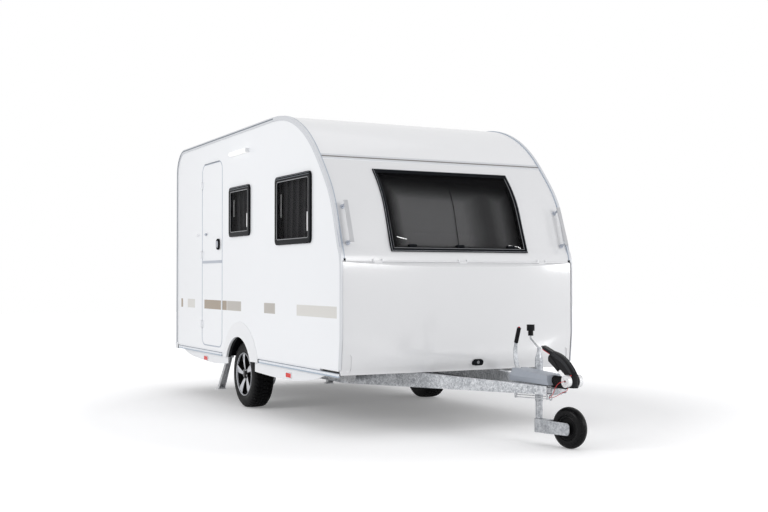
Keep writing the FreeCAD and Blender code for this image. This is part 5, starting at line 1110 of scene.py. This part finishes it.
jockeySettings = {
    # The tyre's wall as the radius, drawn for a wheel of 0.152, and the share of the half width.
    "wall": [(0.0750, 0.70), (0.0785, 0.80), (0.0850, 0.78), (0.0885, 0.70), (0.0920, 0.74), (0.0960, 0.93),
             (0.1080, 0.995), (0.1200, 0.98), (0.1290, 0.90), (0.1350, 0.80), (0.1372, 0.72), (0.1395, 0.76),
             (0.1440, 0.66), (0.1462, 0.58), (0.1450, 0.53), (0.1480, 0.46), (0.1503, 0.30), (0.1490, 0.26),
             (0.1508, 0.20), (0.1518, 0.06)],
    "drawnRadius": 0.152,
    "disc": [(0.0765, 0.0262), (0.0745, 0.0312), (0.0715, 0.0318), (0.0690, 0.0300), (0.0640, 0.0225),
             (0.0400, 0.0190), (0.0300, 0.0215), (0.0190, 0.0290), (0.0185, 0.0345), (0.0170, 0.0352),
             (0.0, 0.0352)],
}


def makeJockeyWheel():
    # The nose wheel's own centre, axle way and half width come from its node: the axle is its thinnest way.
    s = jockeySettings
    points = nodePoints("jockey_tyre")
    centre = (points.min(0) + points.max(0)) / 2
    axis = np.linalg.svd(points - points.mean(0), full_matrices=False)[2][2]
    axis = axis * np.sign(-axis[1])
    half, radius = np.abs((points - centre) @ axis).max(), points[:, 2].max() / 2
    profile = np.array(s["wall"] + [(r, -h) for r, h in s["wall"][::-1]])
    profile[:, 0] *= radius / s["drawnRadius"]
    profile[:, 1] *= half
    wheel = revolveShape(profile, centre, axis, 160, True)
    tyre = makePiece("jockeyTyre", [wheel], "jockey_roller", jockeyRubber)
    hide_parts("jockey_tyre")
    discs, nuts = [], []
    for side in (-1, 1):
        discs.append(revolveShape(s["disc"], centre, axis * side, 64))
        nuts.append(boltShape(centre + axis * side * 0.0345, axis * side, 0.0085, 0.006))
    makePiece("jockeyDiscs", discs, "jockey_roller", wheelBlack)
    makePiece("jockeyNuts", nuts, "jockey_roller", boltZinc)


makeJockeyWheel()


leverSettings = {
    "footZ": 0.532, "topZ": 0.762, "y": -0.008, "rows": 26,
    "bend": [(0.532, 3.112), (0.636, 3.066), (0.754, 3.070)],                       # z, x
    "halfWidths": [(0.532, 0.016), (0.60, 0.0185), (0.70, 0.0165), (0.762, 0.011)],  # z, half the width
    "section": [(-1, -0.0045), (-1, 0.0030), (-0.9, 0.0045), (0.9, 0.0045), (1, 0.0030), (1, -0.0045)],
}


def makeLever():
    # The handbrake's flat bar: x follows z through three points of the source by a parabola.
    s = leverSettings
    zs = np.linspace(s["footZ"], s["topZ"], s["rows"])
    xs = rowX(np.polyval(np.polyfit(*np.transpose(s["bend"]), 2), zs))
    path = np.stack([xs, np.full_like(zs, s["y"]), zs], 1)
    slope = np.gradient(xs, zs)
    sideways = np.tile([0, 1.0, 0], (len(zs), 1))
    upwards = np.stack([np.ones_like(zs), np.zeros_like(zs), -slope], 1) / np.hypot(1, slope)[:, None]
    half = np.interp(zs, *np.transpose(s["halfWidths"]))[:, None]
    share, height = np.transpose(s["section"])
    section = np.stack([half * share, np.broadcast_to(height, (len(zs), len(height)))], -1)
    bar = sweepSection(path, sideways, upwards, section)
    lever = makePiece("brakeLever", [bar], "root", zincFine, smooth=False)
    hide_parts("handbrake_lever")


makeLever()


lampSettings = {
    "markPlaces": ((-1.048, 0.407), (1.195, 0.402)), "markHalf": (0.058, 0.0068, 0.0205), "bevel": 0.003,
    "frameBelow": (0.062, 0.0055, 0.0245), "frameAbove": (0.062, 0.0040, 0.0245), "awningZ": 2.39,
}


def makeLamps():
    # The node's own blocks without its small side marks, and larger marks with a white frame in their place.
    s = lampSettings
    points, corners = nodePoints("lamps"), np.array(nodeFaces("lamps"))
    centres = points[corners].mean(1)
    isMark = (centres[:, 2] < 0.45) & (np.abs(centres[:, 1]) > 0.9) & (np.abs(centres[:, 0] - axleX) < 1.5)
    outY = np.abs(centres[isMark, 1]).max()
    marks, frames = [], []
    for side in (-1, 1):
        for x, z in s["markPlaces"]:
            place = rowPlace((x, side * (outY - 0.006), z))
            marks.append(boxShape(place - s["markHalf"], place + s["markHalf"], s["bevel"]))
            frames.append(boxShape(place - s["frameBelow"], place + s["frameAbove"], s["bevel"]))
    blocks = (points, corners[~isMark].tolist())
    lamps = makePiece("lampBlocks", [blocks, *marks], "root", lampLens, smooth=False)
    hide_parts("lamps")
    makePiece("markFrames", frames, "root", mouldedWhite)
    awning = points[(points[:, 2] > s["awningZ"]) & (points[:, 1] < -1.0)]
    low, high = awning.min(0), awning.max(0)
    ends = [boxShape((x - 0.002, low[1], low[2] - 0.001), (x + 0.002, high[1], high[2] + 0.001), 0.001)
            for x in (low[0] + 0.001, high[0] - 0.001)]
    makePiece("awningLampEnds", ends, "root", mouldedWhite)


makeLamps()

coverSettings = {"rearDepth": 0.74}


def makeCovers():
    # The node's own covers, with the rear pair's depth below their top edge drawn in.
    points = nodePoints("lower_covers")
    top = points[:, 2].max()
    behind = points[:, 0] < axleX
    points[behind, 2] = top - (top - points[behind, 2]) * coverSettings["rearDepth"]
    covers = makePiece("coverShells", [(points, nodeFaces("lower_covers"))], "root", mouldedWhite)
    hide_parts("lower_covers")


makeCovers()

steadySettings = {"widest": 1.42, "start": 0.10, "end": 0.24}


def makeSteadies():
    # The node's own leg, widened sideways with the distance from its hinge by a smooth step.
    s = steadySettings
    for end in ("rear_right", "rear_left", "front_right", "front_left"):
        node = "steady_" + end
        points = nodePoints(node)
        middle = (points[:, 1].min() + points[:, 1].max()) / 2
        hinge = points[points[:, 2] > points[:, 2].max() - 0.012].mean(0)
        away = np.hypot(points[:, 0] - hinge[0], points[:, 2] - hinge[2])
        step = np.clip((away - s["start"]) / (s["end"] - s["start"]), 0, 1)
        factor = 1 + (s["widest"] - 1) * step * step * (3 - 2 * step)
        points[:, 1] = middle + (points[:, 1] - middle) * factor
        # The leg's zinc is lightened as painted light, for legs in the body's shade.
        leg = makePiece("steadyLeg_" + end, [(points, nodeFaces(node))], end + "_steady", zincLitPale)
        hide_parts(node)


makeSteadies()


def makeSkirtEnds():
    # Black end pieces where each skirt rail begins.
    points = nodePoints("skirt_rails")
    points = points[points[:, 1] < 0]
    ends = []
    for own in (points[points[:, 0] < axleX], points[points[:, 0] > axleX]):
        low, high = own.min(0), own.max(0)
        ends.append(boxShape((low[0] - 0.004, low[1] - 0.002, low[2] - 0.002),
                             (low[0] + 0.018, low[1] + 0.02, high[2] + 0.002), 0.003))
    makePairs([("skirtEnds", ends, frameBlack, "black_trim")])


makeSkirtEnds()
print("stage 6: tyres, wheels, lever and lamps")


doorSettings = {
    "hingeX": -1.144, "frontX": -0.518, "low": 0.550, "high": 2.420, "corner": 0.090, "gap": 0.003,
    "sealWidth": 0.011, "sealProud": 0.0025, "handleX": -0.621, "handleZ": 1.584, "ringProud": 0.014,
}


def makeDoorDetails():
    s = doorSettings
    catch = nodePoints("door_handle")
    catch = catch[catch[:, 0] < rowX(-0.8)]
    cap = revolveShape([(0.0128, -0.004), (0.0128, 0.0095), (0.010, 0.0125), (0.004, 0.0125), (0.0032, 0.010),
                        (0, 0.010)], (catch.min(0) + catch.max(0)) / 2, (0, -1, 0), 32)
    makePiece("doorCatchCap", [cap], "door", trimGrey)
    x0, x1 = rowX(s["hingeX"]) - s["gap"], rowX(s["frontX"]) + s["gap"]
    outline = roundedOutline(x0, x1, s["low"] - s["gap"], s["high"] + s["gap"], s["corner"])
    seal = sideStrip(outline, halfRound(s["sealWidth"], s["sealProud"]), wallY)
    makePiece("doorSeal", [seal], "root", sealGrey)
    top = np.array([(x0 + s["corner"], s["high"] + 0.008), (x1 - s["corner"], s["high"] + 0.008)])
    drip = sideStrip(top, halfRound(0.010, 0.010), wallY, closed=False)
    makePiece("doorDripRail", [drip], "root", railMetal)
    # The handle's black ring, its paddle and its lock.
    cx, cz, ringY = rowX(s["handleX"]), s["handleZ"], wallY - s["ringProud"]
    rim = roundedOutline(cx - 0.040, cx + 0.040, cz - 0.056, cz + 0.056, 0.0395, 12)
    ring = sideStrip(rim, [(0.0, -0.002), (0.0, 0.002), (-0.004, 0.0045), (-0.010, 0.0045), (-0.014, 0.0),
                           (-0.014, -0.002)], ringY)
    makePiece("doorHandleRing", [ring], "door", frameBlack)
    paddle = plateShape(roundedOutline(cx - 0.022, cx + 0.022, cz - 0.036, cz + 0.034, 0.0215, 12), 0.006,
                        lambda a, b, depth: np.stack([a, ringY - depth, b], 1))
    makePiece("doorHandlePaddle", [paddle], "door", trimGrey)
    lock = revolveShape([(0, 0), (0.009, 0), (0.009, 0.003), (0.0075, 0.004), (0, 0.004)],
                        (cx, ringY - 0.006, cz - 0.020), (0, -1, 0), 28)
    makePiece("doorLock", [lock], "door", steelBright)


makeDoorDetails()

lidSettings = {"hinge": (2.2976, 1.37398), "rod": 0.0043}


def makeLidDetails():
    # The black end pieces of the line between lid and wall, the lid's hinge rod and the lock's barrel.
    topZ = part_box("locker_lid")[1].z + 0.004
    axis = lidSettings["hinge"]
    notches = []
    for side in (-1, 1):
        spot = frontPlace(side * (halfBody - 0.022), topZ + 0.004, 0.0)
        notches.append(boxShape(spot - [0.010, 0.010, 0.008], spot + [0.007, 0.010, 0.008], 0.002))
    makePiece("lidEndPieces", notches, "root", frameBlack)
    ends = halfBody - 0.034
    path = np.stack([np.full(12, rowX(axis[0])), np.linspace(-ends, ends, 12), np.full(12, axis[1])], 1)
    makePiece("lidHingeRod", [tubeShape(path, lidSettings["rod"], 16)], "lid", roofWhite)
    lockLow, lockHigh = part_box("locker_lock")
    cy, cz, outX = (lockLow.y + lockHigh.y) / 2, (lockLow.z + lockHigh.z) / 2, lockHigh.x
    barrel = revolveShape([(0, -0.002), (0.0125, -0.002), (0.0125, 0.0035), (0.010, 0.0055), (0.004, 0.0055),
                           (0.0035, 0.004), (0, 0.004)], (outX - 0.003, cy, cz), (1, 0, 0), 32)
    makePiece("lidLockBarrel", [barrel], "lid", gasketGrey)


makeLidDetails()
print("stage 7: door and lid details")


cableSettings = {
    # The route of the source, from the near pad's bolt through the ring and up under the coupling.
    "points": [(3.752, -0.052, 0.517), (3.752, -0.084, 0.517), (3.722, -0.100, 0.503), (3.680, -0.092, 0.470),
               (3.640, -0.078, 0.436), (3.598, -0.060, 0.402), (3.550, -0.057, 0.383), (3.550, -0.022, 0.383),
               (3.590, -0.016, 0.396), (3.638, -0.016, 0.421), (3.690, -0.016, 0.439), (3.722, -0.016, 0.450),
               (3.722, -0.016, 0.470)],
    "diameter": 0.004, "length": 0.507,
}


def makeCable():
    curve = bpy.data.curves.new("breakawayCable", "CURVE")
    curve.dimensions = "3D"
    curve.bevel_depth = cableSettings["diameter"] / 2
    curve.bevel_resolution = 3
    curve.resolution_u = 12
    curve.use_fill_caps = True
    spline = curve.splines.new("NURBS")
    points = cableSettings["points"]
    spline.points.add(len(points) - 1)
    for point, (x, y, z) in zip(spline.points, points):
        point.co = (rowX(x), y, z, 1)
    spline.order_u = 3
    spline.use_endpoint_u = True
    cable = bpy.data.objects.new("breakawayCable", curve)
    bpy.context.scene.collection.objects.link(cable)
    curve.materials.append(signalRed)
    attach(cable, "root")
    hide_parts("breakaway_cable")
    x, y, z = points[0]


makeCable()

couplingSettings = {
    "pad": (3.752, 0.064, 0.517), "rings": ((0.0425, 0.002), (0.030, 0.0015), (0.018, 0.0015)),
    "ringProud": 0.0012, "wearMark": (3.772, -0.028, 0.5555), "leverTop": (3.070, -0.008, 0.754),
    "gripTop": (3.109, -0.008, 0.864),
}


def makeCouplingDetails():
    # The friction pads' bright rings and dark bolts, the red wear mark, and the button on the brake's grip.
    s = couplingSettings
    padX, padY, padZ = s["pad"]
    rings, sockets = [], []
    for side in (-1, 1):
        centre, axis = rowPlace((padX, side * padY, padZ)), (0, side, 0)
        for radius, width in s["rings"]:
            band = [(radius - width, 0.0), (radius, 0.0), (radius, s["ringProud"]),
                    (radius - width, s["ringProud"])]
            rings.append(revolveShape(band, centre, axis, 48, True))
        sockets.append(revolveShape([(0.0045, -0.011), (0.0082, -0.011), (0.0082, -0.001), (0.0045, -0.001)],
                                    centre, axis, 24, True))
    makePiece("padRings", rings, "root", steelBright)
    makePiece("padBolts", sockets, "root", castBlack)
    dot = revolveShape([(0, 0), (0.007, 0), (0.007, 0.003), (0.005, 0.0045), (0, 0.0045)],
                       rowPlace(s["wearMark"]), (0, -0.2, 1), 20)
    makePiece("wearMark", [dot], "root", signalRed)
    way = np.subtract(s["gripTop"], s["leverTop"])
    way /= np.linalg.norm(way)
    button = revolveShape([(0, -0.004), (0.0075, -0.004), (0.0075, 0.009), (0.005, 0.011), (0, 0.011)],
                          rowPlace(s["gripTop"]), way, 24)
    makePiece("brakeButton", [button], "root", signalRed)


makeCouplingDetails()


stabiliserSettings = {
    "halfWidth": 0.023,
    "top": [(3.793, 0.556), (3.676, 0.667), (3.530, 0.714)],
    "under": [(3.415, 0.748), (3.428, 0.722), (3.520, 0.692), (3.494, 0.672), (3.496, 0.640), (3.608, 0.574),
              (3.630, 0.594), (3.712, 0.556)],
    "block": [(3.516, 0.686), (3.501, 0.669), (3.503, 0.645), (3.606, 0.584), (3.620, 0.597), (3.585, 0.640)],
    "insert": [(3.430, 0.7238), (3.431, 0.7185), (3.516, 0.6900), (3.5165, 0.6945)],
    "lever": [(3.572, 0.598), (3.588, 0.572), (3.690, 0.522), (3.706, 0.542), (3.640, 0.588)],
}


def arcThrough(a, b, c, count):
    # Points of the circle through three points: its centre has the same distance to all of them.
    a, b, c = (np.array(p, float) for p in (a, b, c))
    matrix = 2 * np.array([b - a, c - a])
    centre = np.linalg.solve(matrix, np.array([b @ b - a @ a, c @ c - a @ a]))
    start, end = (math.atan2(*(p - centre)[::-1]) for p in (a, c))
    turn = np.linspace(start, end, count)
    radius = np.hypot(*(a - centre))
    return centre + radius * np.stack([np.cos(turn), np.sin(turn)], 1)


def plateAcross(outline, low, high, bevel):
    # An (x, z) outline as a plate from y low to high, its rims drawn in by the bevel along the outline's normals.
    outline = np.asarray(outline, float)
    outline = np.stack([rowX(outline[:, 0]), outline[:, 1]], 1)
    drawn = outline - outlineNormals(outline) * bevel
    rings = [(low, drawn), (low + bevel, outline), (high - bevel, outline), (high, drawn)]
    points = np.array([[(x, y, z) for x, z in ring] for y, ring in rings])
    return points, tubeFaces(len(rings), len(outline))


def makeStabiliser():
    s = stabiliserSettings
    half = s["halfWidth"]
    arc = arcThrough(*s["top"], 24)
    outline = np.concatenate([arc, s["under"]])
    grip = plateAcross(outline, -half, half, 0.0035)
    handle = makePiece("stabiliserHandle", [grip], "root", gripBlack)
    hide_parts("stabiliser_handle")
    normals = outlineNormals(arc, False)
    normals *= np.sign(normals[:, 1:2])
    inner = arc - normals * 0.005
    deep = arc - normals * np.interp(np.arange(24), [0, 5, 18, 23], [0.014, 0.030, 0.034, 0.022])[:, None]
    band = np.concatenate([inner[1:-1], deep[1:-1][::-1]])
    rails = []
    for side in (-1, 1):
        y = sorted((side * (half - 0.001), side * (half + 0.0022)))
        rails.append(plateAcross(band, *y, 0.001))
    makePiece("stabiliserBands", rails, "root", gripSatin)
    ridge = np.concatenate([arc[2:-1] + normals[2:-1] * 0.003, (arc[2:-1] - normals[2:-1] * 0.002)[::-1]])
    makePiece("stabiliserRidge", [plateAcross(ridge, -0.008, 0.008, 0.001)], "root", gripSatin)
    for name, key, reach, bevel, finish, slot in (
            ("stabiliserBlock", "block", half + 0.004, 0.0015, castBlack, "black_trim"),
            ("stabiliserInsert", "insert", half + 0.0004, 0.001, signalRed, "lamp_lens"),
            ("stabiliserLever", "lever", 0.017, 0.0015, steelBright, "bright_steel")):
        makePiece(name, [plateAcross(s[key], -reach, reach, bevel)], "root", finish)


makeStabiliser()

rodSettings = {
    "radius": 0.0038,
    "rods": [[(3.205, -0.100, 0.378), (3.360, -0.076, 0.384), (3.520, -0.050, 0.389)],
             [(3.205, -0.100, 0.361), (3.390, -0.070, 0.367), (3.550, -0.040, 0.372)]],
    "block": [(3.193, -0.109, 0.354), (3.209, -0.091, 0.412)],
    "hanger": [(3.514, -0.056, 0.366), (3.524, -0.044, 0.420)],
}


def makeRods():
    # The two brake rods under the drawbar, held by a bracket at each end.
    rods = []
    for run in rodSettings["rods"]:
        rods.append(tubeShape([rowPlace(place) for place in run], rodSettings["radius"], 10))
    for key in ("block", "hanger"):
        low, high = (rowPlace(place) for place in rodSettings[key])
        rods.append(boxShape(low, high, 0.002))
    makePiece("brakeRods", rods, "root", boltZinc)


makeRods()

gripSettings = {
    "width": 0.0175, "depth": 0.0055, "standOff": 0.077, "lower": 0.035, "steps": 24, "barEnds": (0.018, 0.004),
    "footEnds": (0.036, 0.022), "footRadius": 0.0095,
    "plate": [(0, 0.0), (0.019, 0.0), (0.019, 0.004), (0.016, 0.007), (0.0, 0.007)],
}


def makeGrabHandles():
    # The front pair as flat bars that follow the front's curve on two feet; the rear pair is the node's own.
    s = gripSettings
    points, corners = nodePoints("grab_handles"), np.array(nodeFaces("grab_handles"))
    atRear = points[corners].mean(1)[:, 0] < axleX
    ahead = points[points[:, 0] > axleX]
    z0, z1 = ahead[:, 2].min() - s["lower"], ahead[:, 2].max() - s["lower"]
    own = (points, corners[atRear].tolist())
    rear = makePiece("rearHandles", [own], "root", handleGrey, smooth=False)
    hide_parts("grab_handles")
    bars, feet = [], []
    for side in (-1, 1):
        own = ahead[np.sign(ahead[:, 1]) == side]
        y = (own[:, 1].min() + own[:, 1].max()) / 2
        z = np.linspace(z0 + s["barEnds"][0], z1 - s["barEnds"][1], s["steps"])
        place = frontPlace(y, z, s["standOff"])
        ways = place - frontPlace(y, z, 0.0)
        ways /= np.linalg.norm(ways, axis=1)[:, None]
        sideways = np.tile([0, 1.0, 0], (s["steps"], 1))
        w, d = s["width"], s["depth"]
        section = [(-w, -d * 0.6), (-w, d * 0.4), (-w * 0.8, d), (w * 0.8, d), (w, d * 0.4), (w, -d * 0.6),
                   (w * 0.8, -d), (-w * 0.8, -d)]
        bars.append(sweepSection(place, sideways, ways, section))
        for zf in (z0 + s["footEnds"][0], z1 - s["footEnds"][1]):
            run = np.stack([frontPlace(y, zf, out) for out in (0.0015, 0.02, s["standOff"])])
            feet.append(tubeShape(run, s["footRadius"], 16))
            feet.append(revolveShape(s["plate"], frontPlace(y, zf, 0.0008), run[2] - run[0], 24))
    makePiece("frontHandleBars", bars, "root", handleGrey)
    makePiece("frontHandleFeet", feet, "root", trimGrey)


makeGrabHandles()


boltSettings = {
    # A drawbar beam's outer face runs from its front, as x and y, to the side member.
    "beamFront": (3.566, 0.090), "beamRear": (1.290, 0.615), "sideZ": 0.425,
    "beamBolts": ((3.535, 0.438), (3.485, 0.438), (3.135, 0.452), (3.060, 0.452), (2.420, 0.440), (2.480, 0.440)),
    "sideXs": (-1.38, -1.22, -0.30, 0.06, 0.28, 0.95, 1.20),
}


def makeBolts():
    s = boltSettings
    (beamX, beamY), (memberX, memberY) = s["beamFront"], s["beamRear"]
    slope = (memberY - beamY) / (beamX - memberX)
    bolts = []
    for side in (-1, 1):
        out = np.array([slope, side, 0.0]) / math.hypot(1, slope)
        for x, z in s["beamBolts"]:
            place = rowPlace((x, side * (beamY + slope * (beamX - x)), z))
            bolts.append(boltShape(place, out, 0.0085, 0.008))
        for x in s["sideXs"]:
            bolts.append(boltShape(rowPlace((x, side * memberY, s["sideZ"])), (0, side, 0), 0.008, 0.007))
    makePiece("frameBolts", bolts, "root", boltZinc)


makeBolts()
print("stage 8: coupling details and bolts")


# Stage: floor, background and lamps
stageSettings = {
    "floorSize": 60.0,
    "floorColour": (0.88, 0.88, 0.88),
    "nearLift": 0.185,       # what the floor adds to its lit tone where the camera sees it, near the object
    "farLift": 0.60,         # and far from it
    "liftStart": 2.6,
    "liftEnd": 5.0,
    "skyLevel": 0.60,
    "lamps": [
        # name, place from the wheels' centre, aim, width, height, power
        ("sideLamp", (1.2, -9.0, 4.2), (-0.4, -1.0, 1.2), 4.0, 4.0, 222.0),
        ("frontLamp", (10.0, 1.8, 3.5), (2.0, 0.2, 1.2), 3.0, 3.0, 176.0),
        ("rightLamp", (7.6, 7.1, 2.30), (2.2, 0.9, 1.2), 1.6, 1.1, 60.0),
        ("lowLamp", (4.4, 2.90, 0.26), (2.3, 0.82, 0.687), 0.38, 0.15, 1.0),
        ("topLamp", (-0.5, -0.5, 8.0), (0.0, 0.0, 0.0), 6.0, 6.0, 55.0),
    ],
}


def whiteRays(tree, path):
    # 1 where the background is looked at, straight on or by way of metal and glass.
    mirrored = addMath(tree, "MAXIMUM", path.outputs["Is Glossy Ray"], path.outputs["Is Transmission Ray"])
    return addMath(tree, "MAXIMUM", path.outputs["Is Camera Ray"], mirrored)


def buildStage():
    scene = bpy.context.scene
    scene.view_settings.view_transform = "Standard"
    world = bpy.data.worlds.new("studio")
    scene.world = world
    world.use_nodes = True
    tree = world.node_tree
    sky = tree.nodes["Background"]
    seen = tree.nodes.new("ShaderNodeBackground")
    seen.inputs["Color"].default_value = (1, 1, 1, 1)
    level = stageSettings["skyLevel"]
    sky.inputs["Color"].default_value = (level, level, level * 1.02, 1)
    path = tree.nodes.new("ShaderNodeLightPath")
    mix = tree.nodes.new("ShaderNodeMixShader")
    tree.links.new(whiteRays(tree, path), mix.inputs[0])
    tree.links.new(sky.outputs[0], mix.inputs[1])
    tree.links.new(seen.outputs[0], mix.inputs[2])
    tree.links.new(mix.outputs[0], tree.nodes["World Output"].inputs["Surface"])

    half = stageSettings["floorSize"] / 2
    mesh = bpy.data.meshes.new("floor")
    mesh.from_pydata([(-half, -half, 0), (half, -half, 0), (half, half, 0), (-half, half, 0)], [], [(0, 1, 2, 3)])
    floor = bpy.data.objects.new("studioFloor", mesh)
    scene.collection.objects.link(floor)
    finish = bpy.data.materials.new("studioFloor")
    finish.use_nodes = True
    tree = finish.node_tree
    shader = tree.nodes["Principled BSDF"]
    shader.inputs["Base Color"].default_value = (*stageSettings["floorColour"], 1)
    shader.inputs["Roughness"].default_value = 0.9
    shader.inputs["Specular IOR Level"].default_value = 0.0
    glow = tree.nodes.new("ShaderNodeEmission")
    path = tree.nodes.new("ShaderNodeLightPath")
    place = tree.nodes.new("ShaderNodeTexCoord")
    away = tree.nodes.new("ShaderNodeVectorMath")
    away.operation = "LENGTH"
    tree.links.new(place.outputs["Object"], away.inputs[0])
    lift = addRange(tree, away.outputs["Value"], stageSettings["liftStart"], stageSettings["liftEnd"],
                    stageSettings["nearLift"], stageSettings["farLift"])
    tree.links.new(addMath(tree, "MULTIPLY", whiteRays(tree, path), lift), glow.inputs["Strength"])
    both = tree.nodes.new("ShaderNodeAddShader")
    tree.links.new(shader.outputs[0], both.inputs[0])
    tree.links.new(glow.outputs[0], both.inputs[1])
    tree.links.new(both.outputs[0], tree.nodes["Material Output"].inputs["Surface"])
    mesh.materials.append(finish)

    for name, place, aim, width, height, power in stageSettings["lamps"]:
        lamp = bpy.data.objects.new(name, bpy.data.lights.new(name, "AREA"))
        scene.collection.objects.link(lamp)
        lamp.data.shape = "RECTANGLE"
        lamp.data.size, lamp.data.size_y = width, height
        lamp.data.energy = power
        lamp.location = rowPlace(place)
        way = Vector(rowPlace(aim)) - lamp.location
        lamp.rotation_euler = way.to_track_quat("-Z", "Y").to_euler()


buildStage()
print("stage 9: floor, background and lamps")
